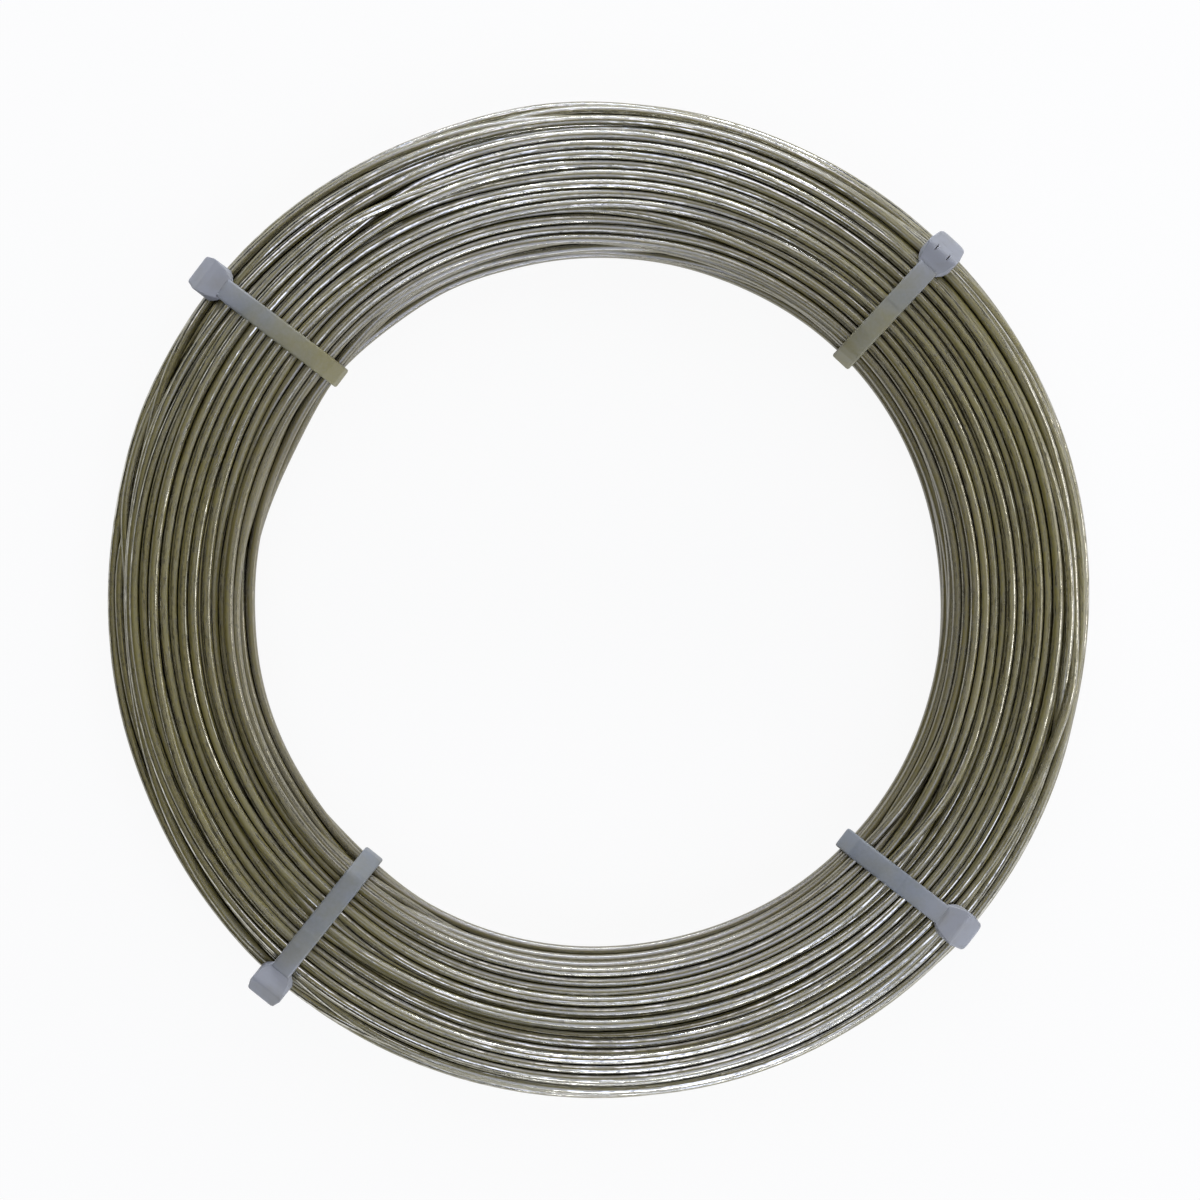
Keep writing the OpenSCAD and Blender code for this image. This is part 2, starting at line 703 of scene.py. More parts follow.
    def _confined(
        self, x: Floats, z: Floats, wide: Any, tall: Any, middle: Any, station: Floats
    ) -> tuple[Floats, Floats]:
        """Brings centres that have left the envelope back to its edge.

        Args:
            x: Offsets outwards.
            z: Offsets upwards.
            wide: Half width at each.
            tall: Half height at each.
            middle: Offset of the middle at each.
            station: Station of each.

        Returns:
            The new offsets.
        """
        corner = self.envelope.corner
        way = np.arctan2(z / tall, (x - middle) / wide) / TURN % 1.0
        uneven = self._skin[(way * self.skin_places).astype(int) % self.skin_places, station]
        wide, tall = wide + uneven, tall + uneven
        ax, az = np.abs(x - middle), np.abs(z)
        ex, ez = ax - (wide - corner), az - (tall - corner)
        away = np.hypot(ex, ez)
        outside = (ex > 0) & (ez > 0) & (away > corner)
        back = np.where(outside, corner / np.maximum(away, TINY), 1.0)
        ax = np.where(outside, wide - corner + ex * back, np.minimum(ax, wide))
        az = np.where(outside, tall - corner + ez * back, np.minimum(az, tall))
        return np.sign(x - middle) * ax + middle, np.sign(z) * az


# ---------------------------------------------------------------- meshes


def new_piece(name: str, mesh: bpy.types.Mesh, slot: Slot, node: str) -> bpy.types.Object:
    """Adds a piece that rides on the part and stands for a CAD node.

    Args:
        name: Name of the piece.
        mesh: Its mesh.
        slot: The record's slot for its finish; not used.
        node: The CAD node it stands for.

    Returns:
        The piece.
    """
    obj = bpy.data.objects.new(name, mesh)
    bpy.context.scene.collection.objects.link(obj)
    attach(obj, BODY)
    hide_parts(node)
    return obj


def mark_points(mesh: bpy.types.Mesh, name: str, values: Floats) -> None:
    """Stores one number at each point of a mesh, for its finish to read.

    Args:
        mesh: The mesh.
        name: Name of the mark.
        values: The numbers.
    """
    mark = mesh.attributes.new(name, "FLOAT", "POINT")
    mark.data.foreach_set("value", values.astype(np.float32).ravel())


def swept_mesh(name: str, points: Floats) -> bpy.types.Mesh:
    """Makes the smooth skin of a section swept along a line, with its two ends closed.

    Args:
        name: Name of the mesh.
        points: The section at each ring, counter-clockwise to one who looks along the line.

    Returns:
        The mesh: its quads ring by ring, and then its two ends.
    """
    rings, sides = points.shape[:2]
    start = np.arange(rings - 1)[:, None] * sides
    side = np.arange(sides)[None, :]
    after = (side + 1) % sides
    quads = np.stack([start + side, start + sides + side, start + sides + after, start + after], axis=-1)
    first = np.arange(sides)
    last = (rings - 1) * sides + first[::-1]
    corners = np.concatenate([quads.ravel(), first, last]).astype(np.int32)
    sizes = np.concatenate([np.full((rings - 1) * sides, 4), [sides, sides]]).astype(np.int32)
    starts = np.concatenate([[0], np.cumsum(sizes)[:-1]]).astype(np.int32)
    mesh = bpy.data.meshes.new(name)
    mesh.vertices.add(rings * sides)
    mesh.vertices.foreach_set("co", points.astype(np.float32).ravel())
    mesh.loops.add(len(corners))
    mesh.loops.foreach_set("vertex_index", corners)
    mesh.polygons.add(len(sizes))
    mesh.polygons.foreach_set("loop_start", starts)
    mesh.polygons.foreach_set("use_smooth", np.arange(len(sizes)) < len(sizes) - 2)
    mesh.update(calc_edges=True)
    mesh.validate()
    return mesh


@dataclass
class WireCoil:
    """The turns of wire.

    Attributes:
        frame: Places of the bundle.
        winding: The settled winding.
        lift: How far the bundle is raised so that its ties stand on the floor.
        sides: Sides of the wire's section.
        contact_shade_spread: Angle round the wire over which the painted shade at a touch fades.
        contact_shade_reach: Gap between two turns over which that painted shade fades.
        names: Names of the lengths that the wire is made in, from the bore outwards.
        map_edge: Margin at the ends of a row of the bake map.
        map_gap: Margin between two rows, as a share of a row.
        map_corner: Where on the map the wire's two square ends take their colour.
    """

    frame: CoilFrame
    winding: Winding
    lift: float = 0.0
    sides: int = 12
    contact_shade_spread: float = math.radians(20)
    contact_shade_reach: float = 0.25 * MM
    names: tuple[str, ...] = (
        "wire_turns_bore",
        "wire_turns_inner",
        "wire_turns_middle",
        "wire_turns_outer",
        "wire_turns_outside",
    )
    map_edge: float = 0.002
    map_gap: float = 0.03
    map_corner: float = 0.0005

    @property
    def mid_z(self) -> float:
        """Height of the middle of the bundle."""
        return self.frame.mid_z + self.lift

    def centreline(self) -> Floats:
        """Follows the wire from its start to its end.

        Returns:
            Points of the wire's centre.
        """
        wind = self.winding
        reach = np.arange(wind.first, wind.last)
        theta = wind.theta[reach % wind.stations]
        radius = self.frame.mid_r + wind.x[reach]
        height = self.mid_z + wind.z[reach]
        return np.column_stack([radius * np.cos(theta), radius * np.sin(theta), height])

    def build(self, dress: Dress) -> list[bpy.types.Object]:
        """Makes the wire in lengths that follow on from each other.

        Args:
            dress: Gives a piece its finish.

        Returns:
            The pieces.
        """
        line = self.centreline()
        wind = self.winding
        # How closely each side touches a neighbouring turn, for the painted shade in the contact lines
        touch = wind.touching(self.sides, self.contact_shade_spread, self.contact_shade_reach)[wind.first : wind.last]
        along = distances(line)
        LOG.info("wire: %.2f m in %d turns", along[-1], wind.turns)
        cuts = np.linspace(0, len(line) - 1, len(self.names) + 1).astype(int)
        pieces = []
        for name, low, high in zip(self.names, cuts[:-1], cuts[1:]):
            mesh = self._length_mesh(name, line, along, slice(low, high + 1))
            mark_points(mesh, CONTACT_SHADE_MARK, touch[low : high + 1])
            piece = new_piece(name, mesh, Slot.WIRE, COIL_NODE)
            dress(piece)
            LOG.info("%s: %d faces", name, len(mesh.polygons))
            pieces.append(piece)
        return pieces

    def _length_mesh(self, name: str, line: Floats, along: Floats, part: slice) -> bpy.types.Mesh:
        """Sweeps the wire's section along one length.

        Args:
            name: Name of the mesh.
            line: The whole centreline.
            along: Distance along the wire at each of its points.
            part: The points of this length.

        Returns:
            The mesh, with its places on the straight wire and its bake map.
        """
        tangent = unit_rows(np.gradient(line, axis=0)[part])
        up = unit_rows(np.array([0.0, 0.0, 1.0]) - tangent * tangent[:, 2:3])
        out = np.cross(tangent, up)
        angle = TURN * np.arange(self.sides) / self.sides
        # A radius that gives the many-sided section the area of the round one
        radius = self.winding.wire_d / 2 / math.sqrt(math.cos(math.pi / self.sides))
        cosine, sine = np.cos(angle)[None, :, None], np.sin(angle)[None, :, None]
        ring = radius * (cosine * out[:, None, :] + sine * up[:, None, :])
        mesh = swept_mesh(name, line[part][:, None, :] + ring)
        self._mark_places(mesh, along[part], angle, radius)
        self._mark_bake_map(mesh, len(tangent))
        return mesh

    def _mark_places(self, mesh: bpy.types.Mesh, along: Floats, angle: Floats, radius: float) -> None:
        """Stores each vertex's place on the wire as if the wire lay straight.

        Args:
            mesh: The mesh.
            along: Distance along the wire at each ring.
            angle: Angle of each side.
            radius: Radius of the wire.
        """
        place = np.empty((len(along), self.sides, 3), np.float32)
        place[..., 0] = along[:, None]
        place[..., 1] = radius * np.cos(angle)[None, :]
        place[..., 2] = radius * np.sin(angle)[None, :]
        mark = mesh.attributes.new(PLACE_MARK, "FLOAT_VECTOR", "POINT")
        mark.data.foreach_set("vector", place.ravel())

    def _mark_bake_map(self, mesh: bpy.types.Mesh, rings: int) -> None:
        """Lays the wire out in rows, one turn to a row, so that its finish bakes evenly.

        Args:
            mesh: The mesh.
            rings: Number of rings in it.
        """
        stations = self.winding.stations
        rows = math.ceil((rings - 1) / stations)
        ring = np.arange(rings - 1)[:, None, None]
        side = np.arange(self.sides)[None, :, None]
        step = np.array([0, 1, 1, 0])[None, None, :]
        turn = np.array([0, 0, 1, 1])[None, None, :]
        u = (ring % stations + step) / stations * (1 - 2 * self.map_edge) + self.map_edge
        v = (ring // stations + self.map_gap + (1 - 2 * self.map_gap) * (side + turn) / self.sides) / rows
        quads = np.stack(np.broadcast_arrays(u, v), axis=-1).reshape(-1, 2)
        caps = np.full((2 * self.sides, 2), self.map_corner)
        layer = mesh.uv_layers.new(name=BAKE_UV)
        layer.data.foreach_set("uv", np.concatenate([quads, caps]).astype(np.float32).ravel())


@dataclass(frozen=True)
class TieSizes:
    """Sizes of a cable tie.

    Attributes:
        strap_w: Width of the strap.
        strap_t: Thickness of the strap.
        edge_r: Radius of the strap's edges.
        edge_points: Points round such an edge.
        tooth_pitch: Length of a tooth.
        tooth_rings: Rings of the mesh in a tooth.
        tooth_depth: Depth of the teeth.
        tooth_low: Depth of a tooth's low end, as a share of that.
        tooth_w: Width of the toothed track.
        tooth_fade: Length over which the teeth begin.
        track_edge: Width of the slope at each side of the track.
        plain_l: Length of thicker plain strap next to the head.
        plain_extra: How much thicker that is.
        plain_fade: Length over which it thins down.
        head_l: Length of the head.
        head_w: Width of the head.
        head_h: Height of the head above the wires.
        taper: How much narrower its outer end is, on each side.
        corner_r: Radius of the head's outer corners.
        corner_turn: Angle at which such a corner meets the outer face.
        corner_points: Points round such a corner, in plan.
        crown: How far its outer face bows out.
        crown_share: Part of the face's half width up to which the bow is drawn.
        crown_points: Points of that bow.
        neck_l: Length over which the head narrows to its strap.
        neck_spare: How much wider than the strap it stays there, on each side.
        neck_in: How far the neck is drawn in halfway.
        rise_l: Length over which its top rises from the strap.
        rise_from: Height at which the rise begins, in strap thicknesses.
        rise_points: Points of that rise.
        fall_points: Points of the curve from the top down to the outer face.
        heel: How far the strap's first point is from the head's middle, in head lengths.
        tail_x: How far the tail's slot is from the head's middle, away from the strap.
        bend: Run in which the tail turns up into its slot.
        bend_points: Points of the line in that bend.
        slit_at: Distance of each pawl slit from the middle, across the head.
        slit_x: Outer end of the pawl slits, along the head.
        slit_l: Length of a pawl slit.
        slit_w: Width of a pawl slit.
        slit_deep: Depth of a pawl slit below the head's top.
        stub: How far the cut tail stands out.
        shoulder_r: Radius of the bundle's shoulder under the head.
        past: How far a cutting shape stands past what it cuts.
        hair: How far one stands past a face that it mustn't mark.
        grain: Size of the faces that the head is made anew with.
        soften: Rounds of softening of the head's edges.
        soften_by: How far a round goes, from 0 to 1.
    """

    strap_w: float = 4.8 * MM
    strap_t: float = 1.25 * MM
    edge_r: float = 0.50 * MM
    edge_points: int = 4
    tooth_pitch: float = 1.1 * MM
    tooth_rings: int = 4
    tooth_depth: float = 0.35 * MM
    tooth_low: float = 0.35
    tooth_w: float = 3.0 * MM
    tooth_fade: float = 1.0 * MM
    track_edge: float = 0.1 * MM
    plain_l: float = 11 * MM
    plain_extra: float = 0.12 * MM
    plain_fade: float = 0.5 * MM
    head_l: float = 8.2 * MM
    head_w: float = 8.2 * MM
    head_h: float = 5.0 * MM
    taper: float = 0.45 * MM
    corner_r: float = 1.6 * MM
    corner_turn: float = 0.2
    corner_points: int = 7
    crown: float = 0.5 * MM
    crown_share: float = 0.8
    crown_points: int = 9
    neck_l: float = 3.1 * MM
    neck_spare: float = 0.1 * MM
    neck_in: float = 0.55 * MM
    rise_l: float = 3.2 * MM
    rise_from: float = 0.8
    rise_points: int = 9
    fall_points: int = 5
    heel: float = 0.45
    tail_x: float = 0.9 * MM
    bend: float = 1.4 * MM
    bend_points: int = 12
    slit_at: float = 1.7 * MM
    slit_x: float = -0.4 * MM
    slit_l: float = 1.3 * MM
    slit_w: float = 0.27 * MM
    slit_deep: float = 0.9 * MM
    stub: float = 0.02 * MM
    shoulder_r: float = 8.2 * MM
    past: float = 1.0 * MM
    hair: float = 0.01 * MM
    grain: float = 0.13 * MM
    soften: int = 4
    soften_by: float = 0.5


@dataclass(frozen=True)
class TiePlace:
    """Where a tie stands, and how.

    Attributes:
        node: The CAD node that it stands for.
        angle: Its angle round the coil, in degrees.
        lean: Lean of its head over the outer shoulder, in degrees.
        skew: Turn of its strap away from square to the turns, in degrees.
        slide: How far the head is pushed out along its own plane.
        stand: How far the head stands off the wires.
        stain: How much the wire's film has tinted it at the bore, and at the outside.
        slits: Whether the slits beside its pawl stand open.
    """

    node: str
    angle: float
    lean: float
    skew: float
    slide: float
    stand: float
    stain: tuple[float, float]
    slits: bool = False


@dataclass
class CableTie:
    """One nylon cable tie, drawn tight round the turns that it crosses.

    Attributes:
        place: Where it stands.
        coil: The turns that it binds.
        sizes: Its sizes.
        neck_bulk: How thick the strap looks next to the head, from 0 to 1 for a head.
        tint_hidden: How much of its tint the bulk of a head hides.
        hull_sides: Sides of the circle that is drawn round each wire under the strap.
        nearby: Angle round the coil within which a turn can pass under the strap.
        late: Part of the loop after which the strap comes back to its head.
    """

    place: TiePlace
    coil: WireCoil
    sizes: TieSizes = TieSizes()
    neck_bulk: float = 0.6
    tint_hidden: float = 0.8
    hull_sides: int = 48
    nearby: float = 0.5
    late: float = 0.6

    def __post_init__(self) -> None:
        """Names the piece, and takes its angles as radians."""
        place = self.place
        self.name = place.node.replace("cable_", "")
        self._angle, self._lean, self._skew = map(math.radians, (place.angle, place.lean, place.skew))

    def build(self, dress: Dress) -> bpy.types.Object:
        """Makes the tie as one piece.

        Args:
            dress: Gives a piece its finish.

        Returns:
            The piece.
        """
        hull = self._hull()
        head_at = self._seat(hull)
        line = self._strap_line(hull, head_at)
        strap = self._strap_mesh(line)
        head = self._head_mesh()
        head.transform(self._section_matrix() @ self._head_matrix(head_at))
        strap.transform(self._section_matrix())
        strap_points = len(strap.vertices)
        joined = bmesh.new()
        mesh = bpy.data.meshes.new(self.name)
        for part in (strap, head):
            joined.from_mesh(part)
            bpy.data.meshes.remove(part)
        joined.to_mesh(mesh)
        joined.free()
        self._mark_tints(mesh, strap_points, line)
        piece = new_piece(self.name, mesh, Slot.TIES, self.place.node)
        dress(piece)
        LOG.info("%s: %d faces", piece.name, len(mesh.polygons))
        return piece

    def underside(self) -> float:
        """Height of the strap's underside."""
        return self.coil.mid_z + self._hull()[:, 1].min() - self.sizes.strap_t / 2

    def _mark_tints(self, mesh: bpy.types.Mesh, strap_points: int, line: Floats) -> None:
        """Writes how thick the nylon is and how far it is tinted at each point.

        Args:
            mesh: The whole tie, its strap's points first.
            strap_points: Number of points of the strap.
            line: The strap's middle line.
        """
        sizes, frame = self.sizes, self.coil.frame
        count = len(mesh.vertices)
        along = distances(line)
        near = self.neck_bulk * (1 - eased(along / sizes.plain_l))
        near[along > along[-1] - sizes.head_l] = 1.0
        bulk = np.ones(count)
        bulk[:strap_points] = np.repeat(near, strap_points // len(line))
        flat = np.empty(count * 3, np.float32)
        mesh.vertices.foreach_get("co", flat)
        radii = np.hypot(flat[0::3], flat[1::3])
        tint = np.interp(radii, (frame.bore_r, frame.outer_r), self.place.stain)
        mark_points(mesh, BULK_MARK, bulk)
        mark_points(mesh, STAIN_MARK, tint * (1 - self.tint_hidden * bulk))

    def _section_matrix(self) -> Matrix:
        """Takes the tie's own plane, X outwards and Z up, to its place on the coil."""
        shift = Matrix.Translation((self.coil.frame.mid_r, 0, self.coil.mid_z))
        return Matrix.Rotation(self._angle, 4, "Z") @ shift @ Matrix.Rotation(self._skew, 4, "Z")

    def _hull(self) -> Floats:
        """Closed line round the wires that the strap crosses, half a strap outside them.

        Returns:
            Its points in the tie's plane, counter-clockwise from above the outer shoulder.
        """
        wind, frame, sizes = self.coil.winding, self.coil.frame, self.sizes
        reach = np.arange(wind.first, wind.last)
        away = wrapped(wind.theta[reach % wind.stations] - self._angle)
        across = (frame.mid_r + wind.x[reach]) * np.sin(away)
        outward = (frame.mid_r + wind.x[reach]) * np.cos(away) - frame.mid_r
        along = outward * math.cos(self._skew) + across * math.sin(self._skew)
        aside = -outward * math.sin(self._skew) + across * math.cos(self._skew)
        station_l = TURN * frame.mid_r / wind.stations
        under = (np.abs(aside) < sizes.strap_w / 2 + station_l / 2) & (np.abs(away) < self.nearby)
        centres = np.column_stack([along[under], wind.z[reach][under]])
        angle = np.linspace(0, TURN, self.hull_sides, endpoint=False)
        radius = wind.wire_d / 2 + sizes.strap_t / 2
        cloud = centres[:, None, :] + radius * np.column_stack([np.cos(angle), np.sin(angle)])[None]
        return convex_hull(cloud.reshape(-1, 2))

    def _seat(self, hull: Floats) -> Floats:
        """Middle of the head's underside: over the shoulder, and on the wires at the head's lean.

        Args:
            hull: The strap's middle line round the wires.

        Returns:
            The point in the tie's plane.
        """
        normal, away = self._axes()
        frame, shoulder_r = self.coil.frame, self.sizes.shoulder_r
        shoulder = np.array([frame.band_w / 2 - shoulder_r, frame.height / 2 - shoulder_r])
        out = (hull @ normal).max() + self.place.stand - self.sizes.strap_t / 2
        return normal * out + away * (shoulder @ away + self.place.slide)

    def _axes(self) -> tuple[Floats, Floats]:
        """Directions out of the head's top and along it away from its strap, in the tie's plane."""
        sine, cosine = math.sin(self._lean), math.cos(self._lean)
        return np.array([sine, cosine]), np.array([cosine, -sine])

    def _head_matrix(self, seat: Floats) -> Matrix:
        """Takes the head's own axes, X away from its strap and Z away from the wires, to the plane."""
        return Matrix.Translation((seat[0], 0, seat[1])) @ Matrix.Rotation(self._lean, 4, "Y")

    def _strap_line(self, hull: Floats, seat: Floats) -> Floats:
        """Middle line of the strap, from inside the head round the wires and out at its cut end.

        Args:
            hull: The closed line round the wires.
            seat: The point on which the head sits.

        Returns:
            Evenly spaced points in the tie's plane.
        """
        sizes = self.sizes
        spacing = sizes.tooth_pitch / sizes.tooth_rings
        normal, away = self._axes()
        middle = seat + normal * sizes.strap_t / 2
        heel = middle - away * sizes.head_l * sizes.heel
        mouth = middle + away * (sizes.tail_x + sizes.bend)
        loop = convex_hull(np.vstack([hull, heel, mouth]))
        start = int(np.argmin(np.linalg.norm(loop - heel, axis=1)))
        loop = resampled(np.vstack([np.roll(loop, -start, axis=0), heel]), spacing)
        outside = (loop - seat) @ away > sizes.tail_x + sizes.bend
        arriving = np.nonzero((np.arange(len(loop)) > len(loop) * self.late) & outside)[0]
        kept = loop[: arriving[-1] + 1]
        slot = seat + away * sizes.tail_x + normal * sizes.strap_t
        length = float(np.linalg.norm(slot - kept[-1]))
        heading = (kept[-1] - kept[-2]) / np.linalg.norm(kept[-1] - kept[-2])
        t = np.linspace(0.0, 1.0, sizes.bend_points + 1)[1:, None]
        bow = kept[-1] * (1 - t) ** 2 * (1 + 2 * t) + slot * t**2 * (3 - 2 * t)
        bow = bow + length * (heading * t * (1 - t) ** 2 - normal * t**2 * (1 - t))
        top = seat + normal * (sizes.head_h + sizes.stub) + away * sizes.tail_x
        return resampled(np.vstack([kept, bow, top[None]]), spacing)

    def _strap_section(self) -> tuple[Floats, Floats, Floats, Floats]:
        """Section of the strap, counter-clockwise from the right edge of its outer face.

        Returns:
            Places across the strap, places outwards, and which points lie on its outer face
            and on its teeth.
        """
        sizes = self.sizes
        half_w, half_t, edge, track = sizes.strap_w / 2, sizes.strap_t / 2, sizes.edge_r, sizes.tooth_w / 2
        turn = np.linspace(0, math.pi / 2, sizes.edge_points)
        across = half_w - edge + edge * np.sin(math.pi / 2 - turn)
        out = half_t - edge + edge * np.sin(turn)
        foot = np.array([-track - sizes.track_edge, -track, track, track + sizes.track_edge])
        x = np.concatenate([across, -across[::-1], -across, foot, across[::-1]])
        z = np.concatenate([out, out[::-1], -out, np.full(len(foot), -half_t), -out[::-1]])
        return x, z, np.arange(len(x)) < 2 * len(turn), np.abs(x) == track

    def _strap_mesh(self, line: Floats) -> bpy.types.Mesh:
        """Sweeps the strap's toothed section along its line.

        Args:
            line: Middle line of the strap, in the tie's plane.

        Returns:
            The mesh, in the tie's own axes.
        """
        sizes = self.sizes
        tangent = unit_rows(np.gradient(line, axis=0))
        outward = np.column_stack([tangent[:, 1], -tangent[:, 0]])
        along = distances(line)
        plain = 1 - eased((along - sizes.plain_l) / sizes.plain_fade)
        teeth = eased((along - sizes.plain_l - sizes.tooth_fade) / sizes.tooth_fade)
        saw = (along / sizes.tooth_pitch) % 1.0
        depth = sizes.tooth_depth * (sizes.tooth_low + (1 - sizes.tooth_low) * saw) * teeth
        across, out, outer, toothed = self._strap_section()
        height = out[None, :] + outer[None, :] * (plain * sizes.plain_extra)[:, None]
        height = height + toothed[None, :] * depth[:, None]
        points = np.empty((len(line), len(across), 3))
        points[..., 0] = line[:, None, 0] + outward[:, None, 0] * height
        points[..., 1] = across[None, :]
        points[..., 2] = line[:, None, 1] + outward[:, None, 1] * height
        return swept_mesh("strap", points)

    def _head_mesh(self) -> bpy.types.Mesh:
        """Moulds the head: a rounded block whose top rises from the strap, with its pawl slits.

        Returns:
            The mesh, X away from its strap and Z away from the wires.
        """
        s = self.sizes
        half_l, half_w, top = s.head_l / 2, s.head_w / 2, s.head_h
        low = s.strap_t * s.rise_from
        run = np.linspace(0.0, 1.0, s.rise_points)[::-1]
        turn = np.linspace(0.0, math.pi / 2, s.fall_points)
        rising = [(-half_l + s.rise_l * t, low + (top - low) * float(eased(t))) for t in run]
        falling = [
            (half_l - s.corner_r * (1 - math.cos(t)), top - s.corner_r * (1 - math.sin(t))) for t in turn
        ]
        profile = [(-half_l - s.past, -s.past), (half_l + s.hair, -s.past)]
        profile += [*falling, *rising, (-half_l - s.past, low)]
        body = prism(self._head_outline(), 0.0, top, Along.Z)
        slope = prism(profile, -half_w - s.past, half_w + s.past, Along.Y)
        slits = []
        for middle in (-s.slit_at, s.slit_at) if self.place.slits else ():
            corner = (s.slit_x - s.slit_l, middle - s.slit_w / 2, top - s.slit_deep)
            slits.append(box_mesh(corner, (s.slit_x, middle + s.slit_w / 2, top + s.past)))
        return moulded(body, slope, slits, s)

    def _head_outline(self) -> list[tuple[float, float]]:
        """Plan of the head: a bowed outer face, rounded corners, and a neck that narrows to the strap.

        Returns:
            Points of the plan, counter-clockwise.
        """
        s = self.sizes
        half_l, half_w, corner = s.head_l / 2, s.head_w / 2, s.corner_r
        face, end_w = half_l - s.crown, half_w - s.taper
        side = [
            (face - corner + corner * math.cos(turn), end_w - corner + corner * math.sin(turn))
            for turn in np.linspace(s.corner_turn, math.pi / 2, s.corner_points)
        ]
        side += [(0.0, half_w), (-half_l + s.neck_l, half_w)]
        side += [(-half_l + s.neck_l / 2, half_w - s.neck_in), (-half_l, s.strap_w / 2 + s.neck_spare)]
        bow = [
            (face + s.crown * (1 - place**2), place * (end_w - corner))
            for place in np.linspace(-s.crown_share, s.crown_share, s.crown_points)
        ]
        return [(x, -y) for x, y in side[::-1]] + bow + side


def convex_hull(points: Floats) -> Floats:
    """Convex outline of a cloud of points in a plane.

    Args:
        points: The cloud.

    Returns:
        The corners of its hull, counter-clockwise.
    """
    points = points[np.lexsort((points[:, 1], points[:, 0]))]

    def half(run: Floats) -> list[Floats]:
        """Lower or upper half of the hull.

        Args:
            run: The cloud's points, from one side to the other.

        Returns:
            The corners of that half, but for the last one.
        """
        chain: list[Floats] = []
        for point in run:
            while len(chain) > 1:
                a, b = chain[-1] - chain[-2], point - chain[-1]
                if a[0] * b[1] - a[1] * b[0] > 0:
                    break
                chain.pop()
            chain.append(point)
        return chain[:-1]

    return np.array(half(points) + half(points[::-1]))


def resampled(line: Floats, step: float) -> Floats:
    """The same open line with evenly spaced points.

    Args:
        line: Points of the line.
        step: Distance between the new points.

    Returns:
        The new points.
    """
    along = distances(line)
    count = max(2, int(round(along[-1] / step)) + 1)
    at = np.linspace(0.0, along[-1], count)
    return np.column_stack([np.interp(at, along, line[:, i]) for i in range(line.shape[1])])


def prism(outline: Sequence[tuple[float, float]], low: float, high: float, along: Along) -> bpy.types.Mesh:
    """Solid of one outline.

    Args:
        outline: Points, in X and Y for a solid along Z, or in X and Z for one along Y.
        low: Where it starts on its axis.
        high: Where it ends.
        along: Its axis.

    Returns:
        The mesh.
    """
    form = bmesh.new()
    rows = [
        [form.verts.new((a, b, level) if along is Along.Z else (a, level, b)) for a, b in outline]
        for level in (low, high)
    ]
    for row in rows:
        form.faces.new(row)
    for i, corner in enumerate(rows[0]):
        after = (i + 1) % len(outline)
        form.faces.new((corner, rows[0][after], rows[1][after], rows[1][i]))
    bmesh.ops.recalc_face_normals(form, faces=form.faces)
    mesh = bpy.data.meshes.new("prism")
    form.to_mesh(mesh)
    form.free()
    return mesh


def box_mesh(low: Sequence[float], high: Sequence[float]) -> bpy.types.Mesh:
    """Solid box between two corners."""
    outline = [(low[0], low[1]), (high[0], low[1]), (high[0], high[1]), (low[0], high[1])]
    return prism(outline, low[2], high[2], Along.Z)


def moulded(
    body: bpy.types.Mesh, kept: bpy.types.Mesh, cuts: Sequence[bpy.types.Mesh], sizes: TieSizes
) -> bpy.types.Mesh:
    """Cuts a body to shape and softens its edges as a moulding's are.

    Args:
        body: The body to start from.
        kept: A solid whose inside is kept.
        cuts: Solids that are taken away.
        sizes: The tie's sizes, for the grain of its faces and their softening.

    Returns:
        The finished mesh.
    """
    obj = bpy.data.objects.new("moulding", body)
    bpy.context.scene.collection.objects.link(obj)
    spare = [obj]
    for operation, mesh in [("INTERSECT", kept)] + [("DIFFERENCE", cut) for cut in cuts]:
        tool = bpy.data.objects.new("tool", mesh)
        bpy.context.scene.collection.objects.link(tool)
        spare.append(tool)
        change = obj.modifiers.new("shape", "BOOLEAN")
        change.operation = operation
        change.solver = "EXACT"
        change.object = tool
    remesh = obj.modifiers.new("skin", "REMESH")
    remesh.mode = "VOXEL"
    remesh.voxel_size = sizes.grain
    remesh.use_smooth_shade = True
    soften = obj.modifiers.new("soften", "SMOOTH")
    soften.factor = sizes.soften_by
    soften.iterations = sizes.soften
    graph = bpy.context.evaluated_depsgraph_get()
    mesh = bpy.data.meshes.new_from_object(obj.evaluated_get(graph))
    for item in spare:
        data = item.data
        bpy.data.objects.remove(item)
        bpy.data.meshes.remove(data)
    return mesh


# ---------------------------------------------------------------- finishes


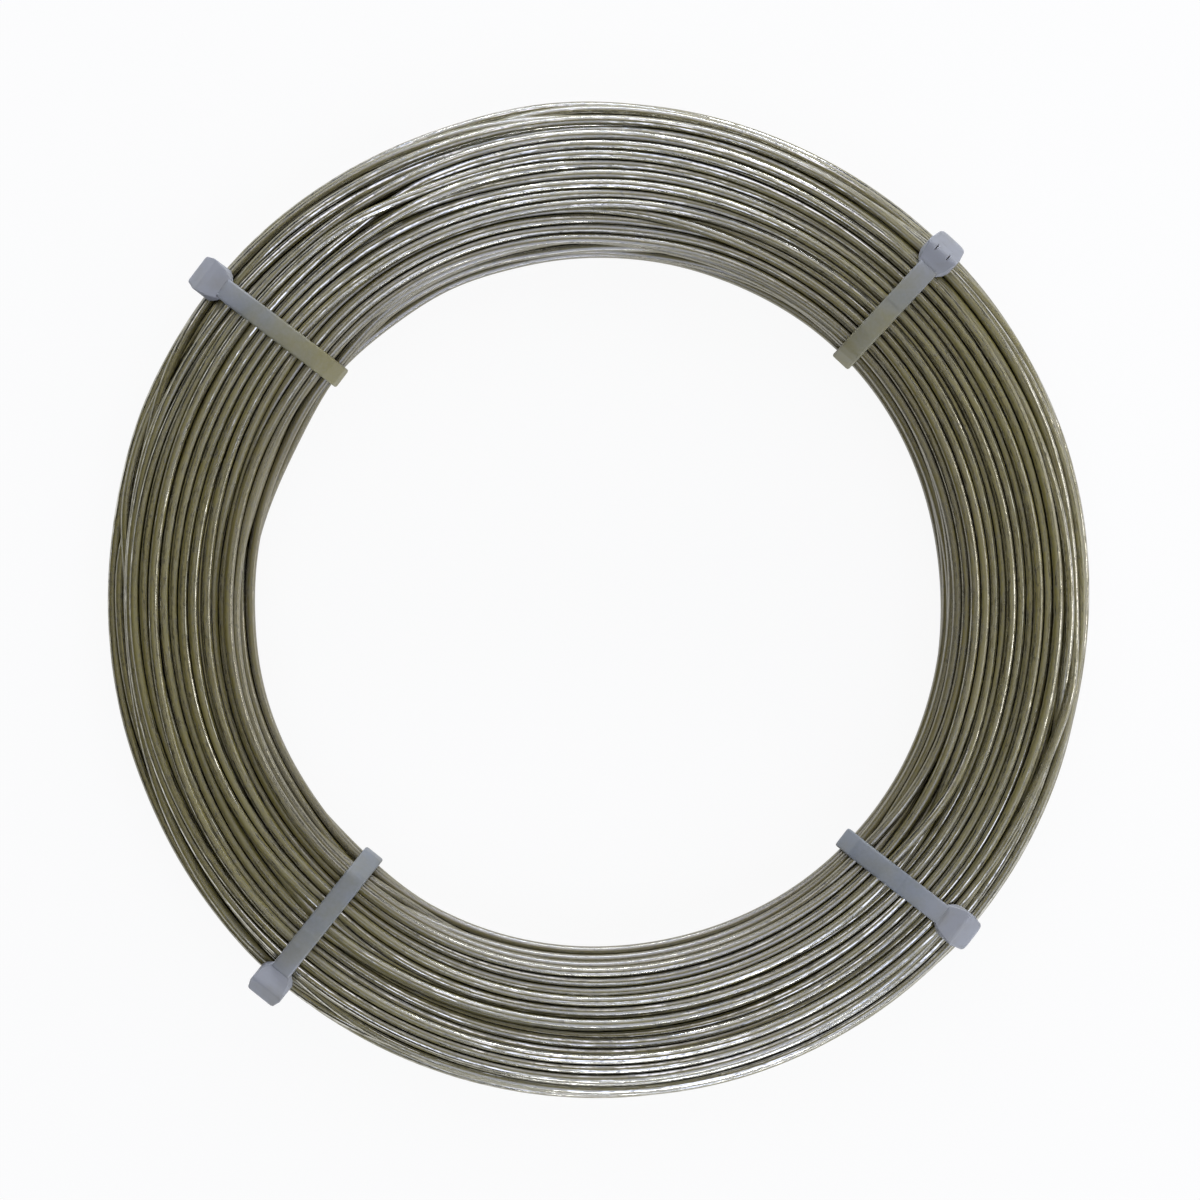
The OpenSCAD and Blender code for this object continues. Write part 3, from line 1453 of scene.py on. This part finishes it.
@dataclass
class Nodes:
    """A node tree being built.

    Attributes:
        tree: The tree.
    """

    tree: bpy.types.NodeTree

    def add(self, kind: str, settings: dict[str, Any] | None = None, **inputs: Any) -> bpy.types.Node:
        """Adds a node.

        Args:
            kind: Its type.
            settings: Properties to set on it.
            **inputs: Values or links for its inputs, by name with _ for a space.

        Returns:
            The node.
        """
        node = self.tree.nodes.new(kind)
        for key, value in (settings or {}).items():
            setattr(node, key, value)
        for key, value in inputs.items():
            self.feed(node.inputs[key.replace("_", " ")], value)
        return node

    def feed(self, socket: bpy.types.NodeSocket, value: Any) -> None:
        """Links an output to a socket, or sets the socket's own value.

        Args:
            socket: The socket.
            value: The output, or the value.
        """
        if isinstance(value, bpy.types.NodeSocket):
            self.tree.links.new(value, socket)
        else:
            socket.default_value = value

    def mark(self, name: str, output: str = "Fac") -> Link:
        """What is stored under a name at each point of the mesh."""
        return self.add("ShaderNodeAttribute", {"attribute_name": name}).outputs[output]

    def noise(self, place: Link, scale: float | Link, detail: float = 2.0, rough: float = 0.5) -> Link:
        """Noise from 0 to 1 at a place."""
        node = self.add("ShaderNodeTexNoise", Vector=place, Scale=scale, Detail=detail, Roughness=rough)
        return node.outputs["Fac"]

    def stretched(self, place: Link, stretch: Sequence[float]) -> Link:
        """A place with its axes stretched by factors."""
        node = self.add("ShaderNodeMapping", Vector=place, Scale=tuple(stretch))
        return node.outputs["Vector"]

    def ranged(self, value: Link, low: Any, high: Any, to_low: float = 0.0, to_high: float = 1.0) -> Link:
        """A value taken from one range to another, and kept in it.

        Args:
            value: The value.
            low: Start of its range.
            high: End of its range.
            to_low: Start of the new range.
            to_high: End of the new range.

        Returns:
            The new value.
        """
        node = self.add("ShaderNodeMapRange", Value=value)
        for name, number in (("From Min", low), ("From Max", high), ("To Min", to_low), ("To Max", to_high)):
            self.feed(node.inputs[name], number)
        return node.outputs["Result"]

    def math(self, operation: str, one: Any, two: Any = 0.0) -> Link:
        """Arithmetic on two values.

        Args:
            operation: The operation.
            one: The first value.
            two: The second value.

        Returns:
            The result.
        """
        node = self.add("ShaderNodeMath", {"operation": operation})
        self.feed(node.inputs[0], one)
        self.feed(node.inputs[1], two)
        return node.outputs[0]

    def mixed(self, share: Any, one: Any, two: Any, blend: str = "MIX") -> Link:
        """Mix of two colours.

        Args:
            share: Share of the second colour.
            one: The first colour.
            two: The second colour.
            blend: How they are mixed.

        Returns:
            The mixed colour.
        """
        node = self.add("ShaderNodeMix", {"data_type": "RGBA", "blend_type": blend})
        # The inputs for colours are the seventh and eighth, and their output the third
        for index, value in ((0, share), (6, one), (7, two)):
            self.feed(node.inputs[index], value)
        return node.outputs[2]

    def bumped(self, height: Link, strength: float, depth: float) -> Link:
        """A surface's normal, bent by a height."""
        node = self.add("ShaderNodeBump", Height=height, Strength=strength, Distance=depth)
        return node.outputs["Normal"]


@dataclass(frozen=True)
class GroupSocket:
    """A named input or output of a node group.

    Attributes:
        name: Its name.
        kind: Its socket type.
        value: Its default value.
    """

    name: str
    kind: str = "NodeSocketFloat"
    value: float | None = None


def node_group(
    name: str, inputs: Sequence[GroupSocket], outputs: Sequence[GroupSocket]
) -> tuple[Nodes, bpy.types.Node, bpy.types.Node]:
    """Starts a shader node group.

    Args:
        name: Its name.
        inputs: Its inputs.
        outputs: Its outputs.

    Returns:
        The group's builder, its input node and its output node.
    """
    tree = bpy.data.node_groups.new(name, "ShaderNodeTree")
    for direction, sockets in (("INPUT", inputs), ("OUTPUT", outputs)):
        for item in sockets:
            socket = tree.interface.new_socket(name=item.name, in_out=direction, socket_type=item.kind)
            if item.value is not None:
                socket.default_value = item.value
    nodes = Nodes(tree)
    return nodes, nodes.add("NodeGroupInput"), nodes.add("NodeGroupOutput")


@dataclass
class Effects:
    """Effects that several finishes share, each a node group that is built once.

    Attributes:
        made: The groups that are built already.
        blotch_from: Noise at which a blotch begins where there is no cover.
        blotch_cover: How far full cover lowers that.
        blotch_edge: Width of a blotch's edge, in the same measure.
        blotch_detail: How many finer layers the blotches have.
        grain_detail: How many finer layers each of the two layers of grain has.
        grain_finer: How many times finer the second layer of grain is.
        grain_share: Share of that layer.
        grain_tones: Noise that gives the grain's darkest and its lightest tone.
    """

    made: dict[Effect, bpy.types.NodeTree] = field(default_factory=dict)
    blotch_from: float = 0.85
    blotch_cover: float = 0.7
    blotch_edge: float = 0.22
    blotch_detail: float = 4.0
    grain_detail: tuple[float, float] = (3.0, 2.0)
    grain_finer: float = 3.7
    grain_share: float = 0.5
    grain_tones: tuple[float, float] = (0.3, 0.7)

    def use(self, nodes: Nodes, effect: Effect, **inputs: Any) -> bpy.types.Node:
        """Places an effect in a material.

        Args:
            nodes: The material's nodes.
            effect: The effect.
            **inputs: Values or links for its inputs.

        Returns:
            The group node.
        """
        if effect not in self.made:
            makers = {Effect.BLOTCHES: self._blotches, Effect.GRAIN: self._grain}
            self.made[effect] = makers[effect]()
        return nodes.add("ShaderNodeGroup", {"node_tree": self.made[effect]}, **inputs)

    def _blotches(self) -> bpy.types.NodeTree:
        """Soft blotches of tone: where a surface is duller or cleaner.

        Returns:
            The group.
        """
        place = GroupSocket("Place", "NodeSocketVector")
        scale, cover = GroupSocket("Scale", value=40.0), GroupSocket("Cover", value=0.5)
        nodes, source, target = node_group("blotches", (place, scale, cover), (GroupSocket("Mask"),))
        broad = nodes.noise(source.outputs["Place"], source.outputs["Scale"], self.blotch_detail)
        lowered = nodes.math("MULTIPLY", source.outputs["Cover"], self.blotch_cover)
        low = nodes.math("SUBTRACT", self.blotch_from, lowered)
        high = nodes.math("ADD", low, self.blotch_edge)
        nodes.feed(target.inputs["Mask"], nodes.ranged(broad, low, high))
        return nodes.tree

    def _grain(self) -> bpy.types.NodeTree:
        """Fine grain: a height and a tone that stay within a small range.

        Returns:
            The group.
        """
        place, scale = GroupSocket("Place", "NodeSocketVector"), GroupSocket("Scale", value=900.0)
        nodes, source, target = node_group(
            "grain", (place, scale), (GroupSocket("Tone"), GroupSocket("Height"))
        )
        coarse = nodes.noise(source.outputs["Place"], source.outputs["Scale"], self.grain_detail[0])
        finer = nodes.math("MULTIPLY", source.outputs["Scale"], self.grain_finer)
        fine = nodes.noise(source.outputs["Place"], finer, self.grain_detail[1])
        total = nodes.math("ADD", coarse, nodes.math("MULTIPLY", fine, self.grain_share))
        nodes.feed(target.inputs["Tone"], nodes.ranged(coarse, *self.grain_tones))
        nodes.feed(target.inputs["Height"], total)
        return nodes.tree


def blank_material(name: str) -> tuple[bpy.types.Material, Nodes]:
    """Starts a material without any nodes.

    Args:
        name: Its name.

    Returns:
        The material and its nodes.
    """
    material = bpy.data.materials.new(name)
    material.use_nodes = True
    material.node_tree.nodes.clear()
    return material, Nodes(material.node_tree)


def principled_material(name: str) -> tuple[bpy.types.Material, Nodes, bpy.types.Node]:
    """Starts a material with a principled shader.

    Args:
        name: Its name.

    Returns:
        The material, its nodes and its shader.
    """
    material, nodes = blank_material(name)
    shader = nodes.add("ShaderNodeBsdfPrincipled")
    nodes.add("ShaderNodeOutputMaterial", Surface=shader.outputs["BSDF"])
    return material, nodes, shader


@dataclass(frozen=True)
class WirePattern:
    """A pattern of noise that is drawn out along the wire.

    Attributes:
        along: Its scale along the wire, as a share of its scale round it.
        scale: Its scale round the wire.
        detail: How many finer layers it has.
        rough: How strong they are.
    """

    along: float
    scale: float
    detail: float = 2.0
    rough: float = 0.5

    def place(self, nodes: Nodes, place: Link) -> Link:
        """A place on the wire, in the pattern's own measure."""
        return nodes.stretched(place, (self.along, 1.0, 1.0))

    def noise(self, nodes: Nodes, place: Link) -> Link:
        """The pattern at a place on the wire."""
        return nodes.noise(self.place(nodes, place), self.scale, self.detail, self.rough)


@dataclass(frozen=True)
class DrawnSteel:
    """Drawn steel under a dull olive film, with bare bright streaks along the wire.

    Attributes:
        film: Colour of the film.
        thick_film: Colour where the film is thick.
        bore_shade_film: Darker colour towards the bore: painted shade of the bundle's inner shoulder.
        bare: Colour of the bare streaks.
        dark: Colour of the drawing lubricant left in pits, and of the painted shade in the contact lines
            between turns.
        film_ior: Refractive index of the film, which sets its gloss.
        rough_low: Roughness of the bare streaks.
        rough_high: Roughness of the film.
        stretches: Long stretches where the film is rubbed.
        dashes: Short dashes where it is rubbed through.
        rubbing: Sum of those two at which rubbing begins, and at which it is complete.
        rubbed_bare: How bare the steel is where rubbing is complete.
        patches: Patches of thick film.
        patch_cover: How much of the wire they cover.
        grain: Grain of the steel.
        pits: Tones of the grain at which pits begin and are deepest.
        pit_dark: How dark the deepest pit is.
        pit_rough: How much rougher it is.
        pit_depth: Its depth, as a share of the bump's.
        bore_shade_radii: Radii on the coil at which that painted shade towards the bore begins and is full.
        bore_shade_rubbing: Share of the rubbing that is left there, so that the painted shade also dims the
            bright streaks.
        touching: Closeness of a touch at which the painted contact shade begins, and at which it is full.
        metal_by: Rubbing at which the streaks are all metal.
        die_lines: Fine lines that the drawing die left.
        bump: Strength of the relief.
        bump_depth: Depth of the relief.
    """

    film: Colour = rgb(0.144, 0.121, 0.022)
    thick_film: Colour = rgb(0.106, 0.088, 0.012)
    bore_shade_film: Colour = rgb(0.100, 0.078, 0.005)
    bare: Colour = rgb(0.750, 0.740, 0.700)
    dark: Colour = rgb(0.010, 0.009, 0.006)
    film_ior: float = 2.54
    rough_low: float = 0.12
    rough_high: float = 0.33
    stretches: WirePattern = WirePattern(1 / 60, 900.0)
    dashes: WirePattern = WirePattern(1 / 12, 2600.0, rough=0.6)
    rubbing: tuple[float, float] = (0.96, 1.18)
    rubbed_bare: float = 0.8
    patches: WirePattern = WirePattern(0.16, 150.0)
    patch_cover: float = 0.5
    grain: WirePattern = WirePattern(0.45, 1900.0)
    pits: tuple[float, float] = (0.42, 0.05)
    pit_dark: float = 0.55
    pit_rough: float = 0.15
    pit_depth: float = -0.5
    bore_shade_radii: tuple[float, float] = (90 * MM, 77 * MM)
    bore_shade_rubbing: float = 0.3
    touching: tuple[float, float] = (0.08, 0.50)
    metal_by: float = 0.5
    die_lines: WirePattern = WirePattern(1 / 18, 1300.0, 4.0, 0.6)
    bump: float = 0.35
    bump_depth: float = 0.03 * MM

    def material(self, effects: Effects) -> bpy.types.Material:
        """Builds the wire's material.

        Args:
            effects: The shared effects.

        Returns:
            The material.
        """
        material, nodes, shader = principled_material("drawn_steel")
        place = nodes.mark(PLACE_MARK, "Vector")
        stretches, dashes = self.stretches.noise(nodes, place), self.dashes.noise(nodes, place)
        rubbed = nodes.ranged(nodes.math("ADD", stretches, dashes), *self.rubbing)
        patch_place, grain_place = self.patches.place(nodes, place), self.grain.place(nodes, place)
        patches = effects.use(
            nodes, Effect.BLOTCHES, Place=patch_place, Scale=self.patches.scale, Cover=self.patch_cover
        )
        grain = effects.use(nodes, Effect.GRAIN, Place=grain_place, Scale=self.grain.scale)
        pits = nodes.ranged(grain.outputs["Tone"], *self.pits, 0.0, self.pit_dark)
        # Painted shade: towards the bore the film is made darker and its bright streaks fewer, for shade on
        # the inner shoulder
        flat = nodes.stretched(nodes.add("ShaderNodeTexCoord").outputs["Object"], (1.0, 1.0, 0.0))
        radius = nodes.add("ShaderNodeVectorMath", {"operation": "LENGTH"}, Vector=flat).outputs["Value"]
        bore_shade = nodes.ranged(radius, *self.bore_shade_radii)
        spared = nodes.ranged(bore_shade, 0.0, 1.0, 1.0, self.bore_shade_rubbing)
        rubbed = nodes.math("MULTIPLY", rubbed, spared)
        # Painted shade: the contact lines between touching turns take the dark colour
        between = nodes.ranged(nodes.mark(CONTACT_SHADE_MARK), *self.touching)
        tone = nodes.mixed(patches.outputs["Mask"], self.film, self.thick_film)
        tone = nodes.mixed(bore_shade, tone, self.bore_shade_film)
        tone = nodes.mixed(nodes.math("MULTIPLY", rubbed, self.rubbed_bare), tone, self.bare)
        tone = nodes.mixed(nodes.math("MAXIMUM", pits, between), tone, self.dark)
        rough = nodes.ranged(rubbed, 0.0, 1.0, self.rough_high, self.rough_low)
        rough = nodes.math("ADD", rough, nodes.math("MULTIPLY", pits, self.pit_rough))
        # The painted contact shade is made metal as well, so that its dark colour reflects next to nothing
        metal = nodes.math("MAXIMUM", nodes.ranged(rubbed, 0.0, self.metal_by), between)
        sunk = nodes.math("MULTIPLY", pits, self.pit_depth)
        height = nodes.math("ADD", self.die_lines.noise(nodes, place), sunk)
        nodes.feed(shader.inputs["Base Color"], tone)
        nodes.feed(shader.inputs["Roughness"], rough)
        nodes.feed(shader.inputs["Metallic"], metal)
        nodes.feed(shader.inputs["Normal"], nodes.bumped(height, self.bump, self.bump_depth))
        shader.inputs["IOR"].default_value = self.film_ior
        return material


@dataclass(frozen=True)
class NaturalNylon:
    """Natural nylon: cloudy where it is thick, showing the wire's tint where it is thin.

    Attributes:
        thick: Colour of the heads.
        thin: Colour of the straps.
        stained: Colour where the wire's film has rubbed off on it.
        frosted: Colour of its fine bloom.
        rough: Its roughness.
        rougher: How much rougher its grain makes it.
        cloud_scale: Scale of the unevenness of its tint.
        cloud_detail: How many finer layers that has.
        clouds: Noise at which the tint is least and most.
        uneven: How far the tint strays to each side.
        grain_scale: Scale of its grain.
        bloom: How much of the bloom the grain shows.
        bump: Strength of the relief.
        bump_depth: Depth of the relief.
    """

    thick: Colour = rgb(0.293, 0.300, 0.310)
    thin: Colour = rgb(0.176, 0.193, 0.203)
    stained: Colour = rgb(0.205, 0.183, 0.073)
    frosted: Colour = rgb(0.33, 0.34, 0.38)
    rough: float = 0.45
    rougher: float = 0.12
    cloud_scale: float = 150.0
    cloud_detail: float = 3.0
    clouds: tuple[float, float] = (0.3, 0.7)
    uneven: float = 0.22
    grain_scale: float = 1400.0
    bloom: float = 0.14
    bump: float = 0.3
    bump_depth: float = 0.03 * MM

    def material(self, effects: Effects) -> bpy.types.Material:
        """Builds the ties' material.

        Args:
            effects: The shared effects.

        Returns:
            The material.
        """
        material, nodes, shader = principled_material("natural_nylon")
        place = nodes.add("ShaderNodeTexCoord").outputs["Object"]
        clouds = nodes.noise(place, self.cloud_scale, self.cloud_detail)
        uneven = nodes.ranged(clouds, *self.clouds, -self.uneven, self.uneven)
        stain = nodes.ranged(nodes.math("ADD", nodes.mark(STAIN_MARK), uneven), 0.0, 1.0)
        grain = effects.use(nodes, Effect.GRAIN, Place=place, Scale=self.grain_scale)
        tone = nodes.mixed(nodes.mark(BULK_MARK), self.thin, self.thick)
        tone = nodes.mixed(stain, tone, self.stained)
        tone = nodes.mixed(nodes.math("MULTIPLY", grain.outputs["Tone"], self.bloom), tone, self.frosted)
        rough = nodes.ranged(grain.outputs["Tone"], 0.0, 1.0, self.rough, self.rough + self.rougher)
        normal = nodes.bumped(grain.outputs["Height"], self.bump, self.bump_depth)
        nodes.feed(shader.inputs["Base Color"], tone)
        nodes.feed(shader.inputs["Roughness"], rough)
        nodes.feed(shader.inputs["Normal"], normal)
        return material


@dataclass(frozen=True)
class WhiteFloor:
    """A white floor that keeps the object's shadow.

    Attributes:
        colour: Its colour.
        glow: Share of plain white that whoever looks at it sees.
    """

    colour: Colour = rgb(0.75, 0.75, 0.75)
    glow: float = 0.92

    def material(self) -> bpy.types.Material:
        """Builds the floor's material.

        Returns:
            The material.
        """
        material, nodes = blank_material("white_floor")
        path = nodes.add("ShaderNodeLightPath")
        seen = nodes.math("MAXIMUM", path.outputs["Is Camera Ray"], path.outputs["Is Glossy Ray"])
        seen = nodes.math("MAXIMUM", seen, path.outputs["Is Transmission Ray"])
        paper = nodes.add("ShaderNodeBsdfDiffuse", Color=self.colour)
        white = nodes.add("ShaderNodeEmission", Color=rgb(1, 1, 1), Strength=1.0)
        mix = nodes.add("ShaderNodeMixShader")
        inputs = (nodes.math("MULTIPLY", seen, self.glow), paper.outputs[0], white.outputs[0])
        for socket, value in zip(mix.inputs, inputs):
            nodes.feed(socket, value)
        nodes.add("ShaderNodeOutputMaterial", Surface=mix.outputs[0])
        return material


# ---------------------------------------------------------------- studio


@dataclass(frozen=True)
class SoftLight:
    """A rectangular lamp that faces the coil.

    Attributes:
        name: Its name.
        direction: Azimuth from +X and height above level, in degrees.
        distance: Its distance.
        size: Its width and height.
        radiance: Brightness of its face.
        colour: Its colour.
    """

    name: str
    direction: tuple[float, float]
    distance: float
    size: tuple[float, float]
    radiance: float
    colour: tuple[float, float, float]

    def build(self) -> None:
        """Adds the lamp to the scene."""
        data = bpy.data.lights.new(self.name, "AREA")
        data.shape = "RECTANGLE"
        data.size, data.size_y = self.size
        data.color = self.colour
        data.energy = self.radiance * math.pi * self.size[0] * self.size[1]
        lamp = bpy.data.objects.new(self.name, data)
        lamp.visible_camera = False
        azimuth, height = (math.radians(v) for v in self.direction)
        level = math.cos(height)
        away = Vector((level * math.cos(azimuth), level * math.sin(azimuth), math.sin(height)))
        lamp.location = away * self.distance
        lamp.rotation_euler = away.to_track_quat("Z", "Y").to_euler()
        bpy.context.scene.collection.objects.link(lamp)


@dataclass(frozen=True)
class SkyPart:
    """A soft glow of the surroundings, brightest in one direction.

    Attributes:
        direction: Where it is brightest.
        colour: Its colour there.
        fall: How steeply it falls off, as a power of the cosine.
    """

    direction: tuple[float, float, float]
    colour: Colour
    fall: float = 2.0

    def light(self, nodes: Nodes, way: Link) -> Link:
        """Its light in each direction.

        Args:
            nodes: The world's nodes.
            way: Direction that is looked in.

        Returns:
            The colour.
        """
        facing = nodes.add("ShaderNodeVectorMath", {"operation": "DOT_PRODUCT"})
        nodes.feed(facing.inputs[0], way)
        nodes.feed(facing.inputs[1], self.direction)
        share = nodes.math("POWER", nodes.math("MAXIMUM", facing.outputs["Value"], 0.0), self.fall)
        return nodes.mixed(share, rgb(0.0, 0.0, 0.0), self.colour)


@dataclass(frozen=True)
class Studio:
    """Floor, lamps and camera.

    Attributes:
        view_w: Width of what the camera sees at the widest part of the coil.
        view_z: Height of that part.
        camera_h: Height of the camera.
        camera_at: The camera's place over the coil.
        sensor_w: Width of the camera's sensor, in its own millimetres.
        floor_w: Width of the floor.
        floor_t: Depth of its underside.
        floor_drop: How far its top lies below the part.
        sky: The parts of the surroundings' glow.
        lamps: The lamps.
    """

    view_w: float = 265.8 * MM
    view_z: float = 15 * MM
    camera_h: float = 1.05
    camera_at: tuple[float, float] = (0.33 * MM, 0.11 * MM)
    sensor_w: float = 36.0
    floor_w: float = 6.0
    floor_t: float = 0.01
    floor_drop: float = 0.02 * MM
    sky: tuple[SkyPart, ...] = (
        SkyPart((0.0, 0.0, 1.0), rgb(0.287, 0.262, 0.139)),
        SkyPart((1.0, 0.0, 0.0), rgb(0.107, 0.098, 0.066)),
        SkyPart((0.0, 1.0, 0.0), rgb(0.025, 0.049, 0.115)),
        SkyPart((0.0, -1.0, 0.0), rgb(0.025, 0.025, 0.016)),
    )
    lamps: tuple[SoftLight, ...] = (
        SoftLight("back_window", (91, 52), 2.0, (2.0, 1.3), 1.56, (0.92, 0.93, 1.14)),
        SoftLight("back_low", (92, 22), 0.9, (0.8, 0.42), 1.31, (0.83, 0.98, 1.42)),
        SoftLight("front_window", (287, 52), 2.0, (2.0, 1.3), 1.72, (0.92, 1.0, 1.36)),
        SoftLight("front_low", (290, 22), 0.9, (0.72, 0.42), 0.98, (0.86, 1.0, 1.48)),
        SoftLight("back_strip", (86, 13), 0.8, (0.68, 0.055), 36.9, (0.95, 0.98, 1.08)),
        SoftLight("front_strip", (282, 13), 0.8, (0.58, 0.055), 22.14, (0.97, 1.0, 1.12)),
        SoftLight("right_strip", (4, 14), 0.7, (0.6, 0.05), 6.97, (1.04, 1.0, 0.97)),
        SoftLight("right_low", (4, 28), 0.8, (0.7, 0.3), 0.98, (1.0, 1.02, 0.97)),
    )

    def build(self) -> None:
        """Adds the studio to the scene."""
        bpy.context.scene.view_settings.view_transform = "Standard"
        self._build_sky()
        self._build_floor()
        for lamp in self.lamps:
            lamp.build()
        self._build_camera()

    def _build_sky(self) -> None:
        """Makes the glow of the surroundings."""
        world = bpy.data.worlds.new("studio")
        world.use_nodes = True
        background = next(n for n in world.node_tree.nodes if n.type == "BACKGROUND")
        nodes = Nodes(world.node_tree)
        way = nodes.add("ShaderNodeTexCoord").outputs["Generated"]
        glow = rgb(0.0, 0.0, 0.0)
        for part in self.sky:
            glow = nodes.mixed(1.0, glow, part.light(nodes, way), "ADD")
        nodes.feed(background.inputs["Color"], glow)
        background.inputs["Strength"].default_value = 1.0
        bpy.context.scene.world = world

    def _build_floor(self) -> None:
        """Lays the floor."""
        half = self.floor_w / 2
        mesh = box_mesh((-half, -half, -self.floor_t), (half, half, -self.floor_drop))
        mesh.materials.append(WhiteFloor().material())
        floor = bpy.data.objects.new("floor", mesh)
        bpy.context.scene.collection.objects.link(floor)

    def _build_camera(self) -> None:
        """Sets the camera straight above the coil."""
        data = bpy.data.cameras.new("camera")
        data.sensor_width = self.sensor_w
        data.lens = self.sensor_w * (self.camera_h - self.view_z) / self.view_w
        camera = bpy.data.objects.new("camera", data)
        camera.location = (*self.camera_at, self.camera_h)
        bpy.context.scene.collection.objects.link(camera)
        bpy.context.scene.camera = camera


# ---------------------------------------------------------------- main


@dataclass(frozen=True)
class Bundle:
    """What the bundle of turns is wound to.

    Attributes:
        wire_d: Diameter of the wire.
        shoulder_r: Radius of the bundle's shoulders.
        spare_w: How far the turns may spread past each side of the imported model.
        spare_h: How far they may spread past its top and its underside.
        turns: Number of turns.
        stations: Stations in a turn.
        start: Where on its first turn the wire starts, in degrees.
        finish: Where on its last turn it ends, in degrees.
        pinches: Where the ties draw the turns together, in degrees.
    """

    wire_d: float = 2.2 * MM
    shoulder_r: float = 8.2 * MM
    spare_w: float = 0.2 * MM
    spare_h: float = 0.3 * MM
    turns: int = 127
    stations: int = 240
    start: float = 40.0
    finish: float = 322.0
    pinches: tuple[float, ...] = (45.05, 139.95, 229.05, 317.05)

    def coil(self, frame: CoilFrame) -> WireCoil:
        """Winds the wire and settles its turns.

        Args:
            frame: Places of the bundle.

        Returns:
            The turns of wire.
        """
        envelope = Envelope(
            half_w=(frame.band_w - self.wire_d) / 2 + self.spare_w,
            half_h=(frame.height - self.wire_d) / 2 + self.spare_h,
            corner=self.shoulder_r - self.wire_d / 2,
            ties=tuple(math.radians(angle) for angle in self.pinches),
        )
        start, finish = math.radians(self.start), math.radians(self.finish)
        winding = Winding(self.turns, self.stations, self.wire_d, envelope, start, finish)
        return WireCoil(frame, winding.settle())


TIES = (
    TiePlace("cable_tie_back_right", 45.05, 30.0, 2.1, 0.5 * MM, 0.0, (0.95, 0.05), slits=True),
    TiePlace("cable_tie_back_left", 139.85, 50.0, 2.9, 3.1 * MM, 0.3 * MM, (1.15, 0.05)),
    TiePlace("cable_tie_front_left", 229.05, 50.0, 2.4, 1.7 * MM, 0.8 * MM, (0.12, 0.45)),
    TiePlace("cable_tie_front_right", 317.1, 32.0, 5.2, -0.7 * MM, 0.0, (0.0, 0.1)),
)


def dresser(material: bpy.types.Material) -> Dress:
    """Makes a function that gives pieces one material.

    Args:
        material: The material.

    Returns:
        The function.
    """

    def dress(piece: bpy.types.Object) -> None:
        """Gives the piece its material."""
        piece.data.materials.clear()
        piece.data.materials.append(material)

    return dress


def main() -> None:
    """Builds the coil, its ties and the studio."""
    logging.basicConfig(level=logging.INFO, format="%(message)s")
    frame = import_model()
    effects = Effects()
    coil = Bundle().coil(CoilFrame.of_node(frame["nodes"][COIL_NODE]))
    ties = [CableTie(place, coil) for place in TIES]
    coil.lift = -min(tie.underside() for tie in ties)
    LOG.info("bundle raised by %.2f mm", coil.lift / MM)
    coil.build(dresser(DrawnSteel().material(effects)))
    nylon = dresser(NaturalNylon().material(effects))
    for tie in ties:
        tie.build(nylon)
    Studio().build()


if __name__ == "__main__":
    main()
